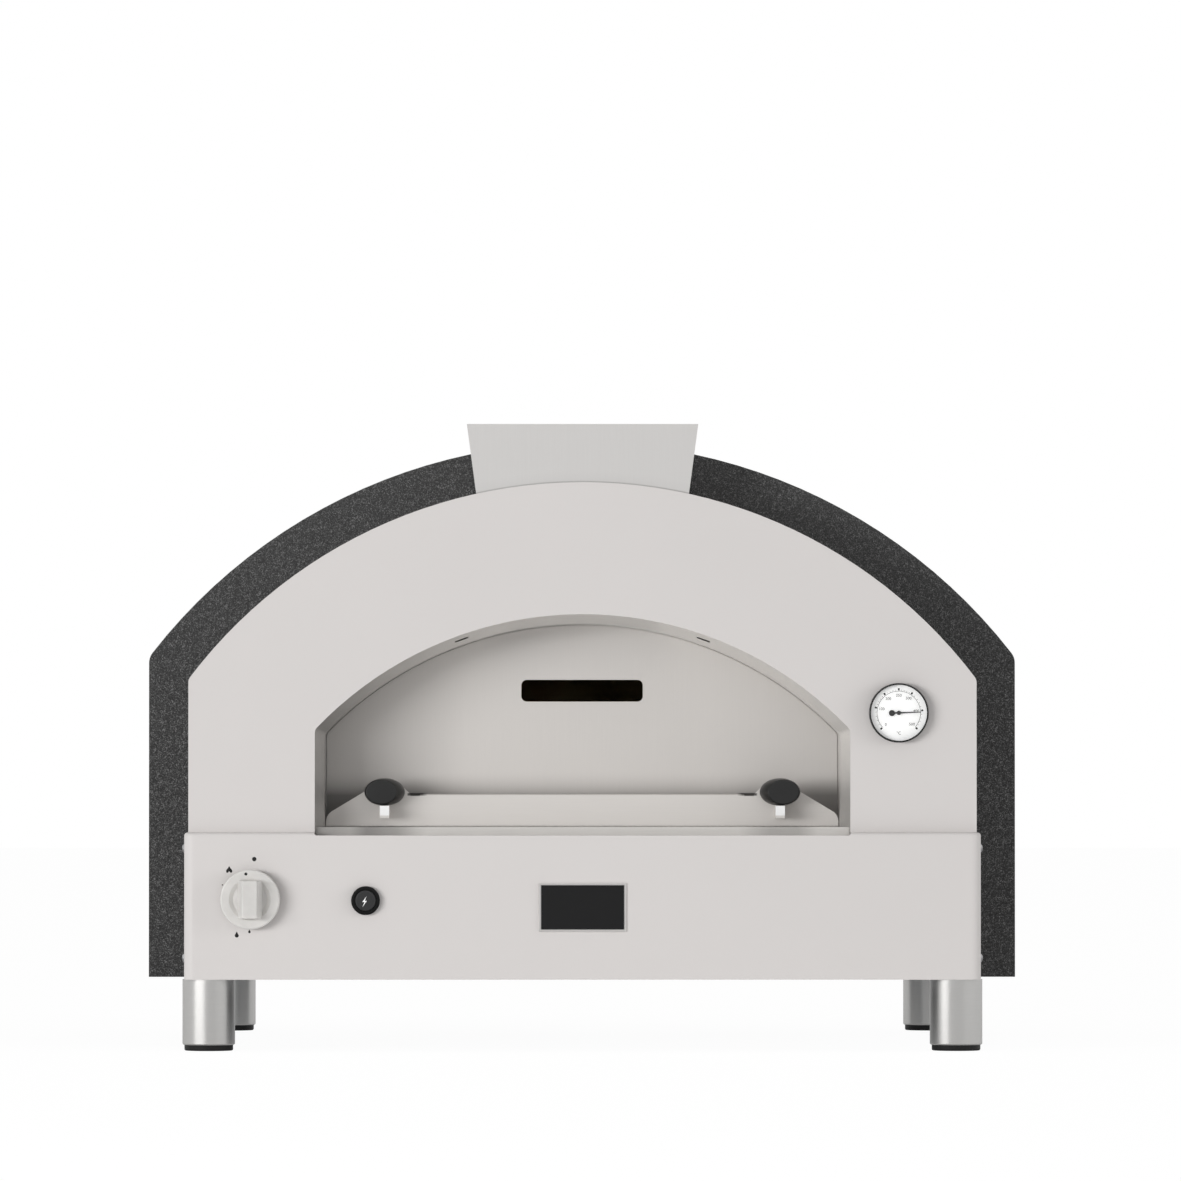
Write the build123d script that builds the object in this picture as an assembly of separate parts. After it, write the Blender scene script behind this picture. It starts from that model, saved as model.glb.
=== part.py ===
from build123d import *
import os
from math import radians, sqrt, tan

# Portable gas pizza oven, in millimetres.
# X runs across the front (plus to the right of someone facing it), Y runs back, Z runs up.
# The origin is on the ground under the middle of the oven.

# Body as a whole
body_width = 575.2
body_depth = 540.0
base_bottom = 51.5
base_top = 157.7
sheet = 1.5
fine_sheet = 1.2
fit_gap = 0.3
cut_over = 5.0

# Front plate, with the mouth in it
ledge_depth = 10.0
fascia_side_set = 2.8
fascia_crown_set = 41.7
fascia_arc_height = 55.1
fascia_shoulder_radius = 7.0
mouth_side_set = 91.3
mouth_arc_radius = 265.9
mouth_arc_height = 49.4
mouth_shoulder_radius = 6.0
mouth_sink = 2.2
mouth_foot_radius = 1.6

# Arched surround between the front plate and the shell
surround_depth = 77.5
surround_flange = 12.0

# Dark outer shell
shell_side_reach = 28.8
shell_arc_radius = 397.4
shell_arc_height = 44.5
shell_shoulder_radius = 12.0
shell_ring_seat = 10.0
shell_rear_flange = 12.0
shell_foot_flange = 24.0

# Rear panel with its cooling slots
rear_panel_margin = 0.5
rear_slot_width = 6.0
rear_slot_height = 28.0
rear_slot_pitch = 17.0
rear_slot_count = 13
rear_slot_middle = 77.0

# Lined mouth: a flared lip, then a straight tunnel
lip_inset = 6.5
lip_depth = 20.0
liner_flange = 9.0
lip_tab_offset = 87.5
lip_tab_width = 10.0
lip_tab_height = 0.9

# Mouth floor plate
sill_rise = 6.2
sill_apron_set = 3.0

# Base casing
casing_corner_radius = 7.0
casing_edge_radius = 2.5
pan_wall_height = 46.5
pan_ledge_width = 20.0
pan_front_lip = 12.0
air_slot_length = 34.0
air_slot_width = 7.0
air_slot_pitch = 52.0
air_slot_count = 8
front_air_slot_count = 5

# Cooking chamber
chamber_side_set = 66.4
chamber_crown_set = 66.0
chamber_shoulder_radius = 10.0
chamber_rear_wall_flange = 6.0
chamber_front_wall_set = 4.8
rear_insulation_depth = 35.0
door_stop_width = 8.0
front_insulation_depth = 31.5

# Cooking floor
tray_side_set = 5.8
tray_rear_set = 8.0
tile_thickness = 30.0
tile_joint = 0.4
tile_chamfer = 1.5
tile_columns = 2
tile_rows = 2

# Burner bay along the left wall
bay_width = 52.0
trough_depth = 72.0
trough_slot_length = 26.0
trough_slot_width = 5.0
trough_slot_pitch = 46.0
trough_slot_count = 8
guard_height = 34.0
guard_foot = 12.0
guard_edge_set = 1.0
guard_end_set = 8.0
guard_slot_length = 24.0
guard_slot_height = 9.0
guard_slot_pitch = 38.0
guard_slot_count = 9

# Burner tube
burner_height = 112.0
burner_radius = 12.5
burner_bell_radius = 14.0
burner_throat_radius = 9.0
burner_bell_length = 18.0
burner_recovery_length = 12.0
burner_wall = 1.2
burner_front_set = 34.5
port_count = 17
port_pitch = 20.0
port_width = 1.8
port_length = 12.0
port_start_set = 34.0

# Spark electrode and thermocouple, each passing the chamber's front wall
probe_side_set = 15.0
probe_rise = 16.0
ceramic_radius = 3.0
ceramic_front_reach = 13.0
ceramic_back_reach = 19.0
spark_wire_radius = 1.0
spark_wire_reach = 12.0
spark_wire_side = 9.0
spark_wire_drop = 1.5
spark_wire_bend = 4.0
thermocouple_radius = 2.5
thermocouple_tip_radius = 1.6
thermocouple_front_reach = 15.0
thermocouple_back_reach = 24.0
thermocouple_tip_length = 8.0
thermocouple_lead_radius = 1.2

# Gas valve, its spindle and its knob
knob_side_set = 48.0
knob_z = 109.5
knob_radius = 21.5
knob_gap = 4.0
knob_skirt_depth = 7.5
knob_dish_radius = 15.2
knob_dish_depth = 2.0
knob_dish_run = 3.0
knob_edge_radius = 1.4
grip_length = 27.0
grip_base_width = 18.6
grip_top_width = 10.6
grip_corner_radius = 1.2
knob_reach = 24.0
knob_hub_depth = 4.0
spindle_radius = 4.0
spindle_flat_height = 2.8
spindle_knob_depth = 9.0
spindle_plug_depth = 9.7
plug_radius = 7.0
plug_length = 17.4
plug_socket_depth = 13.7
valve_depth = 30.0
valve_set = 12.5
valve_nose_radius = 6.5
valve_nose_reach = 6.0
valve_side = 12.4
valve_top = 14.5
valve_bottom = 17.5
valve_outlet_side = 11.0
magnet_radius = 7.0
panel_hole_radius = 7.2
bracket_side = 6.0
bracket_foot = 10.0
injector_base_radius = 6.0
injector_base_length = 6.0
injector_tip_radius = 4.0
injector_length = 13.0
injector_bore_radius = 1.0

# Gas pipe and its inlet on the rear
pipe_radius = 5.0
pipe_side_set = 17.6
pipe_z = 74.0
pipe_bend_radius = 11.0
pipe_valve_drop = 4.5
inlet_nipple_radius = 8.33
inlet_nipple_length = 18.0
inlet_hex_width = 22.0
inlet_hex_length = 6.0
inlet_barrel_radius = 7.0
inlet_barrel_length = 9.0
locknut_width = 21.0
locknut_length = 5.0

# Push igniter
igniter_knob_distance = 83.1
igniter_z = 108.6
igniter_bezel_radius = 10.4
igniter_bezel_reach = 5.0
igniter_bezel_edge = 1.5
igniter_barrel_radius = 8.8
igniter_barrel_length = 26.0
igniter_can_radius = 7.8
igniter_can_length = 40.0
igniter_button_radius = 7.5
igniter_button_proud = 0.8
igniter_button_length = 14.0
igniter_button_dome = 1.0
igniter_travel = 5.0
igniter_nut_width = 24.0
igniter_nut_length = 4.0
lead_radius = 1.5
lead_front_run = 26.0
lead_back_run = 23.0
lead_bend_radius = 10.0

# Chimney and the flue under it
chimney_rise = 42.1
chimney_top_half_width = 83.7
chimney_taper_angle = 7.64
chimney_rear_set = 3.0
chimney_overlap = 14.0
flue_half_width = 66.0
flue_front_set = 22.5
flue_rear_set = 8.0
flue_top_reach = 9.0

# Legs with pressed-in glides
leg_radius = 19.0
leg_wall = 1.5
leg_cap = 4.0
leg_side_set = 17.4
leg_front_set = 19.6
leg_foot_chamfer = 0.8
glide_height = 4.2
glide_radius = 17.6
glide_spigot_height = 12.0
glide_edge_radius = 1.2
bolt_radius = 4.0
bolt_head_width = 13.0
bolt_head_height = 5.3
bolt_length = 14.0
bolt_washer_radius = 8.0
bolt_washer_height = 1.6

# Dial thermometer
dial_side_set = 56.4
dial_vault_drop = 40.624
case_radius = 21.5
case_depth = 8.0
case_wall = 0.9
case_lip = 1.3
case_lip_depth = 1.0
case_edge_radius = 0.8
dial_set = 3.0
dial_thickness = 0.7
glass_thickness = 1.0
needle_length = 16.0
needle_tail = 5.0
needle_width = 1.2
needle_tip_width = 0.5
needle_thickness = 0.4
needle_weight_radius = 2.2
needle_hub_radius = 1.6
needle_hub_length = 1.2
needle_dial_gap = 0.6
needle_tilt = 2.0
arbor_radius = 0.5
arbor_length = 9.0
stem_boss_radius = 6.0
stem_boss_length = 10.0
stem_radius = 3.0
stem_length = 112.0
stem_nut_width = 17.0
stem_nut_length = 5.0

# Lift-off door
door_side_gap = 0.6
door_slot_width = 88.8
door_slot_height = 15.9
door_slot_radius = 4.0
door_slot_z = 260.5
door_foot_rise = 23.0
door_foot_reach = 30.0
door_shelf_side_set = 69.0
door_relief_width = 7.0
door_relief_height = 1.3
door_ear_rise = 7.1
door_ear_flat = 17.7
door_ear_slope_drop = 22.0
door_ear_side_set = 0.6
door_ear_corner_radius = 9.0
door_arm_side_set = 43.5
door_arm_width = 6.8
door_arm_height = 9.0
door_arm_reach = 23.0
door_arm_z = 167.7
door_tang_depth = 8.0
door_tang_height = 9.0
door_knob_width = 29.0
door_knob_height = 20.0
door_knob_depth = 22.0
door_knob_nose_width = 22.5
door_knob_nose_height = 18.0
door_knob_nose_shift = 2.6
door_knob_nose_radius = 1.2
door_knob_gap = 1.0

# Angle and count
quarter_turn = 90
hexagon_sides = 6

# Places worked out from the sizes above
front_y = -body_depth / 2
rear_y = body_depth / 2
rear_inner_y = rear_y - sheet
base_half_width = body_width / 2
fascia_half_width = base_half_width - fascia_side_set
mouth_half_width = fascia_half_width - mouth_side_set
shell_half_width = base_half_width + shell_side_reach
chamber_half_width = shell_half_width - chamber_side_set
chamber_arc_radius = shell_arc_radius - chamber_crown_set
fascia_arc_radius = shell_arc_radius - fascia_crown_set
chimney_top = fascia_arc_height + fascia_arc_radius + chimney_rise
fascia_y = front_y + ledge_depth
fascia_back_y = fascia_y + sheet
shell_front_y = fascia_back_y + surround_depth
ring_back_y = shell_front_y + sheet
wall_back_y = ring_back_y + fine_sheet
chamber_rear_y = rear_inner_y - sheet - rear_insulation_depth - fine_sheet
mouth_floor = base_top - mouth_sink
sill_top = mouth_floor + sill_rise
pan_half_width = base_half_width - sheet - fit_gap
tray_half_width = pan_half_width - tray_side_set
pan_top = base_bottom + pan_wall_height
tray_top = pan_top + sheet
tile_bottom = sill_top - tile_thickness
tunnel_half_width = mouth_half_width - lip_inset
tunnel_arc_radius = mouth_arc_radius - lip_inset
door_shelf_half_width = tunnel_half_width - door_shelf_side_set
door_arm_x = tunnel_half_width - door_arm_side_set
bay_right = -chamber_half_width + bay_width
burner_x = -chamber_half_width + bay_width / 2 - fine_sheet
burner_front_y = wall_back_y - burner_front_set - fine_sheet
knob_x = -base_half_width + knob_side_set
igniter_x = knob_x + igniter_knob_distance
pipe_x = -base_half_width + pipe_side_set
dial_x = fascia_half_width - dial_side_set
dial_z = shell_arc_height + sqrt(chamber_arc_radius**2 - dial_x**2) - dial_vault_drop
valve_front_y = front_y + sheet + valve_set
valve_rear_y = valve_front_y + valve_depth
leg_x = base_half_width - leg_side_set
leg_front_y = front_y + leg_front_set
leg_rear_y = rear_y - leg_front_set
door_back_y = ring_back_y - fit_gap
door_front_y = door_back_y - sheet
door_bottom = sill_top + fit_gap
foot_front_y = door_front_y - door_foot_reach


def block(x_span, y_span, z_span):
    """A box between two corners, each span given as (low, high)."""
    size = [span[1] - span[0] for span in (x_span, y_span, z_span)]
    middle = [(span[0] + span[1]) / 2 for span in (x_span, y_span, z_span)]
    return Pos(*middle) * Box(*size)


def rod(x, z, radius, y_span):
    """A round bar along Y."""
    length = y_span[1] - y_span[0]
    middle = Pos(x, (y_span[0] + y_span[1]) / 2, z)
    return middle * Rot(X=quarter_turn) * Cylinder(radius, length)


def hex_bar(x, z, width, y_span):
    """A hexagonal bar along Y, given its width across flats."""
    flat = Pos(x, z) * RegularPolygon(width / 2, hexagon_sides, major_radius=False)
    return slab(flat, y_span)


def slab(sketch, y_span):
    """A front-view sketch given depth along Y."""
    plane = Plane(origin=(0, y_span[1], 0), x_dir=(1, 0, 0), z_dir=(0, -1, 0))
    return extrude(plane * sketch, amount=y_span[1] - y_span[0])


def turned(points):
    """A solid turned about Z from its half section of (radius, height) points."""
    section = Plane.XZ * make_face(Polyline(*points, close=True))
    return revolve(section, Axis.Z)


def turned_forward(x, y, z, points):
    """The same, with its axis pointing forward from a face at y."""
    return Pos(x, y, z) * Rot(X=quarter_turn) * turned(points)


def arch(half_width, radius, arc_height, foot, shoulder_radius):
    """An upright-sided arch: two legs, rounded shoulders and one crown arc."""
    shoulder = arc_height + sqrt(radius**2 - half_width**2)
    left = (-half_width, shoulder)
    right = (half_width, shoulder)
    legs = Polyline(left, (-half_width, foot), (half_width, foot), right)
    crown = ThreePointArc(right, (0, arc_height + radius), left)
    face = make_face([legs, crown])
    shoulders = face.vertices().sort_by(Axis.Y)[-2:]
    return fillet(shoulders, shoulder_radius)


def fascia_arch(inset, foot):
    """The front plate's outline, drawn in by an inset."""
    return arch(
        fascia_half_width - inset,
        fascia_arc_radius - inset,
        fascia_arc_height,
        foot,
        max(fascia_shoulder_radius - inset, fine_sheet),
    )


def mouth_arch(inset, foot):
    """The mouth's outline, drawn in by an inset."""
    return arch(
        mouth_half_width - inset,
        mouth_arc_radius - inset,
        mouth_arc_height,
        foot,
        mouth_shoulder_radius,
    )


def shell_arch(inset, foot):
    """The shell's outline, drawn in by an inset."""
    return arch(
        shell_half_width - inset,
        shell_arc_radius - inset,
        shell_arc_height,
        foot,
        shell_shoulder_radius,
    )


def chamber_arch(outset, foot):
    """The cooking chamber's inner outline, let out by an outset."""
    return arch(
        chamber_half_width + outset,
        chamber_arc_radius + outset,
        shell_arc_height,
        foot,
        chamber_shoulder_radius + outset,
    )


def slot_row(count, pitch, make_cut):
    """The same cut repeated at an even pitch about the middle."""
    start = -(count - 1) * pitch / 2
    return [make_cut(start + index * pitch) for index in range(count)]


# Dark outer shell: one arched skin with a front ring and folded-in edges
def outer_shell():
    y_span = (shell_front_y, rear_inner_y)
    skin = slab(shell_arch(0, base_bottom), y_span)
    skin -= slab(
        shell_arch(sheet, base_bottom - cut_over),
        (shell_front_y - cut_over, rear_inner_y + cut_over),
    )
    ring = slab(shell_arch(0, base_bottom), (shell_front_y, ring_back_y))
    ring_cut = (shell_front_y - cut_over, ring_back_y + cut_over)
    ring -= slab(fascia_arch(shell_ring_seat, base_bottom - cut_over), ring_cut)
    base_gap_half = base_half_width + fit_gap
    ring -= block(
        (-base_gap_half, base_gap_half),
        ring_cut,
        (base_bottom - cut_over, base_top + fit_gap),
    )
    rear = slab(shell_arch(0, base_bottom), (rear_inner_y - sheet, rear_inner_y))
    rear -= slab(
        shell_arch(sheet + shell_rear_flange, base_bottom - cut_over),
        (rear_inner_y - cut_over, rear_inner_y + cut_over),
    )
    shell = skin + ring + rear
    for side in (-1, 1):
        edges = sorted((side * (shell_half_width - shell_foot_flange), side * shell_half_width))
        shell += block(edges, y_span, (base_bottom, base_bottom + sheet))
    return shell


def rear_slots():
    """The cooling slots, shared by the rear panel and the pan's rear wall."""
    cuts = slot_row(
        rear_slot_count,
        rear_slot_pitch,
        lambda x: Pos(x, rear_slot_middle)
        * SlotOverall(rear_slot_height, rear_slot_width, rotation=quarter_turn),
    )
    y_span = (rear_inner_y - sheet - cut_over, rear_y + cut_over)
    return [slab(cut, y_span) for cut in cuts]


def inlet_hole():
    """The round hole for the gas inlet's barrel."""
    y_span = (rear_inner_y - sheet - cut_over, rear_y + cut_over)
    return rod(pipe_x, pipe_z, inlet_barrel_radius + fit_gap, y_span)


# Rear panel closing the shell, with cooling slots and the gas inlet's hole
def rear_panel():
    plate = slab(shell_arch(rear_panel_margin, base_bottom), (rear_inner_y, rear_y))
    plate -= rear_slots()
    plate -= inlet_hole()
    return plate


# Front plate: an arched facade with the mouth cut through it
def front_fascia():
    plate = slab(fascia_arch(0, base_top), (fascia_y, fascia_back_y))
    plate -= slab(
        mouth_arch(0, base_top - cut_over),
        (fascia_y - cut_over, fascia_back_y + cut_over),
    )
    plate -= rod(
        dial_x, dial_z, stem_boss_radius + fit_gap, (fascia_y - cut_over, fascia_back_y + cut_over)
    )
    return plate


def flue_block(outset, z_span):
    """The flue's plan rectangle, let out by an outset, over a height."""
    half = flue_half_width + outset
    y_span = (fascia_back_y + flue_front_set - outset, shell_front_y - flue_rear_set + outset)
    return block((-half, half), y_span, z_span)


# Arched surround: a deep folded band behind the front plate
def front_surround():
    y_span = (fascia_back_y, shell_front_y)
    through = (y_span[0] - cut_over, y_span[1] + cut_over)
    band = slab(fascia_arch(0, base_top), y_span)
    band -= slab(fascia_arch(surround_flange, base_top - cut_over), through)
    hollow = (y_span[0] + fine_sheet, y_span[1] - fine_sheet)
    band -= slab(fascia_arch(fine_sheet, base_top - cut_over), hollow)
    crown = fascia_arc_height + fascia_arc_radius
    band -= flue_block(fit_gap, (crown - surround_flange - body_depth / 2, crown + cut_over))
    return band


# Mouth liner: a lip that flares out to the front plate, then a straight tunnel
def mouth_liner():
    lip_back_y = fascia_back_y + lip_depth
    mouth_plane = Plane(origin=(0, fascia_back_y, 0), x_dir=(1, 0, 0), z_dir=(0, -1, 0))
    tunnel_plane = Plane(origin=(0, lip_back_y, 0), x_dir=(1, 0, 0), z_dir=(0, -1, 0))

    def cone(outset, foot):
        wide = mouth_plane * mouth_arch(-outset, foot)
        narrow = tunnel_plane * mouth_arch(lip_inset - outset, foot)
        return loft([wide, narrow], ruled=True)

    tunnel = slab(mouth_arch(lip_inset - fine_sheet, mouth_floor), (lip_back_y, ring_back_y))
    flange = slab(
        mouth_arch(-liner_flange, base_top), (fascia_back_y, fascia_back_y + fine_sheet)
    )
    liner = cone(fine_sheet, mouth_floor) + tunnel + flange
    low = mouth_floor - cut_over
    liner -= cone(0, low)
    liner -= slab(mouth_arch(lip_inset, low), (lip_back_y - fit_gap, ring_back_y + cut_over))
    corner = mouth_floor + mouth_foot_radius
    for side in (-1, 1):
        edges = sorted((side * (mouth_half_width - mouth_foot_radius), side * base_half_width))
        liner -= block(edges, (fascia_y, ring_back_y), (low, corner))
        edges = sorted((side * (mouth_half_width - fit_gap), side * base_half_width))
        liner -= block(edges, (fascia_y, ring_back_y), (low, base_top))
    liner -= flue_block(-fine_sheet, (tunnel_top() - flue_half_width / 2, chimney_top))
    for side in (-1, 1):
        liner -= lip_tab_slot(side)
    return liner


def tunnel_top():
    """Height of the tunnel's crown."""
    return mouth_arc_height + tunnel_arc_radius


def lip_tab_slot(side):
    """A narrow slot through the lip, lying along the mouth's arc."""
    radius = mouth_arc_radius - lip_inset / 2
    height = mouth_arc_height + sqrt(radius**2 - lip_tab_offset**2)
    slope = Vector(side * lip_tab_offset, height - mouth_arc_height).get_angle(Vector(0, 1))
    cutter = Box(lip_tab_width, lip_depth, lip_tab_height)
    return Pos(side * lip_tab_offset, fascia_back_y + lip_depth / 2, height) * Rot(Y=side * slope) * cutter


# Mouth floor plate: it flares with the lip and has a folded front apron
def mouth_sill():
    apron_y = fascia_back_y + sill_apron_set
    lip_back_y = fascia_back_y + lip_depth
    side_gap = fit_gap + fit_gap
    flare_share = sill_apron_set / lip_depth
    wide = mouth_half_width - lip_inset * flare_share - side_gap
    narrow = tunnel_half_width - side_gap
    outline = Polyline(
        (-wide, apron_y),
        (wide, apron_y),
        (narrow, lip_back_y),
        (narrow, ring_back_y),
        (-narrow, ring_back_y),
        (-narrow, lip_back_y),
        close=True,
    )
    top = extrude(Pos(0, 0, sill_top - sheet) * make_face(outline), amount=sheet)
    apron = block((-wide, wide), (apron_y, apron_y + sheet), (mouth_floor, sill_top))
    edge = (top + apron).edges().filter_by(Axis.X).group_by(Axis.Z)[-1].sort_by(Axis.Y)[0]
    return fillet(edge, sheet - fit_gap)


def casing_body(inset, floor):
    """The base casing's outer form, drawn in by an inset and open below."""
    half = base_half_width - inset
    solid = block((-half, half), (front_y + inset, shell_front_y - fit_gap), (floor, base_top - inset))
    uprights = solid.edges().filter_by(Axis.Z).group_by(Axis.Y)[0]
    solid = fillet(uprights, casing_corner_radius - inset)
    rim = solid.faces().sort_by(Axis.Z)[-1].edges()
    rim = [edge for edge in rim if edge.center().Y < shell_front_y - fine_sheet]
    return fillet(rim, casing_edge_radius - inset)


# Base casing: the folded front panel, its two returns and the deck that carries the arch
def control_panel():
    casing = casing_body(0, base_bottom)
    sink = block(
        (-mouth_half_width, mouth_half_width),
        (front_y - cut_over, shell_front_y + cut_over),
        (mouth_floor, base_top + cut_over),
    )
    sink = fillet(sink.edges().filter_by(Axis.Y).group_by(Axis.Z)[0], mouth_foot_radius)
    casing -= sink
    hollow = casing_body(sheet, base_bottom - cut_over)
    hollow += block(
        (-base_half_width + casing_corner_radius, base_half_width - casing_corner_radius),
        (shell_front_y - cut_over - fit_gap, shell_front_y + cut_over),
        (base_bottom - cut_over, mouth_floor - sheet),
    )
    lowered = mouth_half_width + sheet
    hollow -= block(
        (-lowered, lowered),
        (front_y, shell_front_y + cut_over),
        (mouth_floor - sheet, base_top + cut_over),
    )
    casing -= hollow
    through = (front_y - cut_over, front_y + cut_over)
    casing -= rod(knob_x, knob_z, panel_hole_radius, through)
    casing -= rod(igniter_x, igniter_z, igniter_barrel_radius + fit_gap, through)
    return casing


# Base pan: the tray that carries the cooking floor, the burner and the legs
def base_pan():
    half = pan_half_width
    y_span = (front_y + sheet + fit_gap, rear_inner_y)
    pan = block((-half, half), y_span, (base_bottom, base_bottom + sheet))
    lip_span = (y_span[0], y_span[0] + fine_sheet)
    pan += block((-half, half), lip_span, (base_bottom, base_bottom + pan_front_lip))
    pan += block((-half, half), (rear_inner_y - sheet, rear_inner_y), (base_bottom, pan_top))
    for side in (-1, 1):
        wall = sorted((side * (half - sheet), side * half))
        pan += block(wall, y_span, (base_bottom, pan_top))
        ledge = sorted((side * (half - pan_ledge_width), side * half))
        pan += block(ledge, (ring_back_y, rear_inner_y), (pan_top - sheet, pan_top))
        for y in (leg_front_y, leg_rear_y):
            pan -= Pos(side * leg_x, y, base_bottom) * Cylinder(bolt_radius + fit_gap, cut_over)
    pan -= pan_air_slots()
    pan -= rear_slots()
    pan -= inlet_hole()
    return pan & pan_footprint()


def pan_footprint():
    """The pan's plan, with its front corners rounded to lie inside the casing's."""
    half = pan_half_width
    y_span = (front_y + sheet + fit_gap, rear_inner_y)
    plan = block((-half, half), y_span, (base_bottom, pan_top))
    corners = plan.edges().filter_by(Axis.Z).group_by(Axis.Y)[0]
    return fillet(corners, casing_corner_radius - sheet)


def pan_air_slots():
    """Air slots through the pan under the burner, and a row under the controls."""
    under_burner = slot_row(
        air_slot_count,
        air_slot_pitch,
        lambda y: Pos(burner_x, y) * SlotOverall(air_slot_length, air_slot_width, rotation=quarter_turn),
    )
    row_y = (front_y + shell_front_y) / 2
    under_front = slot_row(
        front_air_slot_count,
        air_slot_pitch,
        lambda x: Pos(x, row_y) * SlotOverall(air_slot_length, air_slot_width),
    )
    low = Pos(0, 0, base_bottom - cut_over)
    return [extrude(low * cut, amount=cut_over + cut_over) for cut in under_burner + under_front]


# Chamber vault: the arched stainless skin over the cooking floor
def chamber_vault():
    y_span = (wall_back_y, chamber_rear_y)
    vault = slab(chamber_arch(fine_sheet, tray_top), y_span)
    vault -= slab(
        chamber_arch(0, tray_top - cut_over), (y_span[0] - cut_over, y_span[1] + cut_over)
    )
    return vault


# Chamber front wall: it joins the vault to the mouth and stops the door
def chamber_front_wall():
    y_span = (ring_back_y, wall_back_y)
    through = (y_span[0] - cut_over, y_span[1] + cut_over)
    wall = slab(fascia_arch(chamber_front_wall_set, tray_top), y_span)
    wall -= slab(mouth_arch(lip_inset + door_stop_width, sill_top), through)
    wall -= rod(burner_x, burner_height, burner_radius + fit_gap, through)
    probe_z = burner_height + probe_rise
    wall -= rod(burner_x + probe_side_set, probe_z, ceramic_radius + fit_gap, through)
    wall -= rod(burner_x - probe_side_set, probe_z, thermocouple_radius + fit_gap, through)
    wall -= rod(dial_x, dial_z, stem_radius + fit_gap, through)
    return wall


# Chamber rear wall: a plain plate welded over the vault's back edge
def chamber_rear_wall():
    outline = chamber_arch(fine_sheet + chamber_rear_wall_flange, tray_top)
    return slab(outline, (chamber_rear_y, chamber_rear_y + fine_sheet))


# Ceramic fibre blanket between the vault and the shell
def vault_blanket():
    y_span = (wall_back_y + fit_gap, chamber_rear_y - fit_gap)
    foot = tray_top + fit_gap
    blanket = slab(shell_arch(sheet + fit_gap, foot), y_span)
    blanket -= slab(
        chamber_arch(fine_sheet + fit_gap, foot - cut_over),
        (y_span[0] - cut_over, y_span[1] + cut_over),
    )
    return blanket


# Fibre board behind the chamber
def rear_insulation():
    front = chamber_rear_y + fine_sheet + fit_gap
    back = rear_inner_y - sheet - fit_gap
    return slab(shell_arch(sheet + fit_gap, tray_top + fit_gap), (front, back))


# Fibre boards in the surround, either side of the flue
def front_insulation():
    y_span = (ring_back_y - front_insulation_depth, ring_back_y)
    through = (y_span[0] - cut_over, y_span[1] + cut_over)
    board = slab(fascia_arch(surround_flange + fit_gap, base_top), y_span)
    board -= slab(mouth_arch(lip_inset - fine_sheet - fit_gap, base_top - cut_over), through)
    crown = fascia_arc_height + fascia_arc_radius
    board -= flue_block(fit_gap, (mouth_arc_height, crown))
    half = flue_half_width + fit_gap
    board -= block((-half, half), through, (mouth_arc_height, crown))
    board -= rod(dial_x, dial_z, stem_radius + fit_gap, through)
    return board


# Floor tray: the sheet that the chamber stands on, with a slot for the burner trough
def floor_tray():
    tray = block(
        (-tray_half_width, tray_half_width),
        (ring_back_y, rear_inner_y - tray_rear_set),
        (pan_top, tray_top),
    )
    tray -= block(
        (-chamber_half_width, bay_right),
        (wall_back_y, chamber_rear_y),
        (pan_top - cut_over, tray_top + cut_over),
    )
    return tray


# Insulating board under the tiles
def floor_insulation():
    return block(
        (bay_right + fit_gap, chamber_half_width - fit_gap),
        (wall_back_y + fit_gap, chamber_rear_y - fit_gap),
        (tray_top, tile_bottom),
    )


# Refractory tiles, laid dry with a narrow joint
def hearth_tile(column, row):
    x_low = bay_right + fit_gap
    y_low = wall_back_y + fit_gap
    width = (chamber_half_width - fit_gap - x_low + tile_joint) / tile_columns
    length = (chamber_rear_y - fit_gap - y_low + tile_joint) / tile_rows
    x = x_low + column * width
    y = y_low + row * length
    tile = block((x, x + width - tile_joint), (y, y + length - tile_joint), (tile_bottom, sill_top))
    return chamfer(tile.faces().sort_by(Axis.Z)[-1].edges(), tile_chamfer)


# Burner trough: a folded channel that keeps the flames off the tiles
def burner_trough():
    x_span = (-chamber_half_width + fit_gap, bay_right - fit_gap)
    y_span = (wall_back_y, chamber_rear_y)
    top = sill_top - fine_sheet
    bottom = top - trough_depth
    inner = (x_span[0] + fine_sheet, x_span[1] - fine_sheet)
    trough = block(x_span, y_span, (bottom, top))
    through = (y_span[0] - cut_over, y_span[1] + cut_over)
    trough -= block(inner, through, (bottom + fine_sheet, top + cut_over))
    middle = (y_span[0] + y_span[1]) / 2
    cuts = slot_row(
        trough_slot_count,
        trough_slot_pitch,
        lambda y: Pos(burner_x, middle + y)
        * SlotOverall(trough_slot_length, trough_slot_width, rotation=quarter_turn),
    )
    low = Pos(0, 0, bottom - cut_over)
    trough -= [extrude(low * cut, amount=cut_over + cut_over) for cut in cuts]
    return trough


# Burner guard: a slotted fence between the flames and the food
def burner_guard():
    x = bay_right + fit_gap + guard_edge_set
    y_span = (wall_back_y + guard_end_set, chamber_rear_y - guard_end_set)
    fence = block((x, x + fine_sheet), y_span, (sill_top, sill_top + guard_height))
    fence += block((x, x + guard_foot), y_span, (sill_top, sill_top + fine_sheet))
    middle = (y_span[0] + y_span[1]) / 2
    height = sill_top + guard_height / 2
    plane = Plane(origin=(x - cut_over, middle, height), x_dir=(0, 1, 0), z_dir=(1, 0, 0))
    cuts = slot_row(
        guard_slot_count,
        guard_slot_pitch,
        lambda y: extrude(
            plane * Pos(y, 0) * SlotOverall(guard_slot_length, guard_slot_height),
            amount=cut_over + cut_over,
        ),
    )
    return fence - cuts


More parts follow.
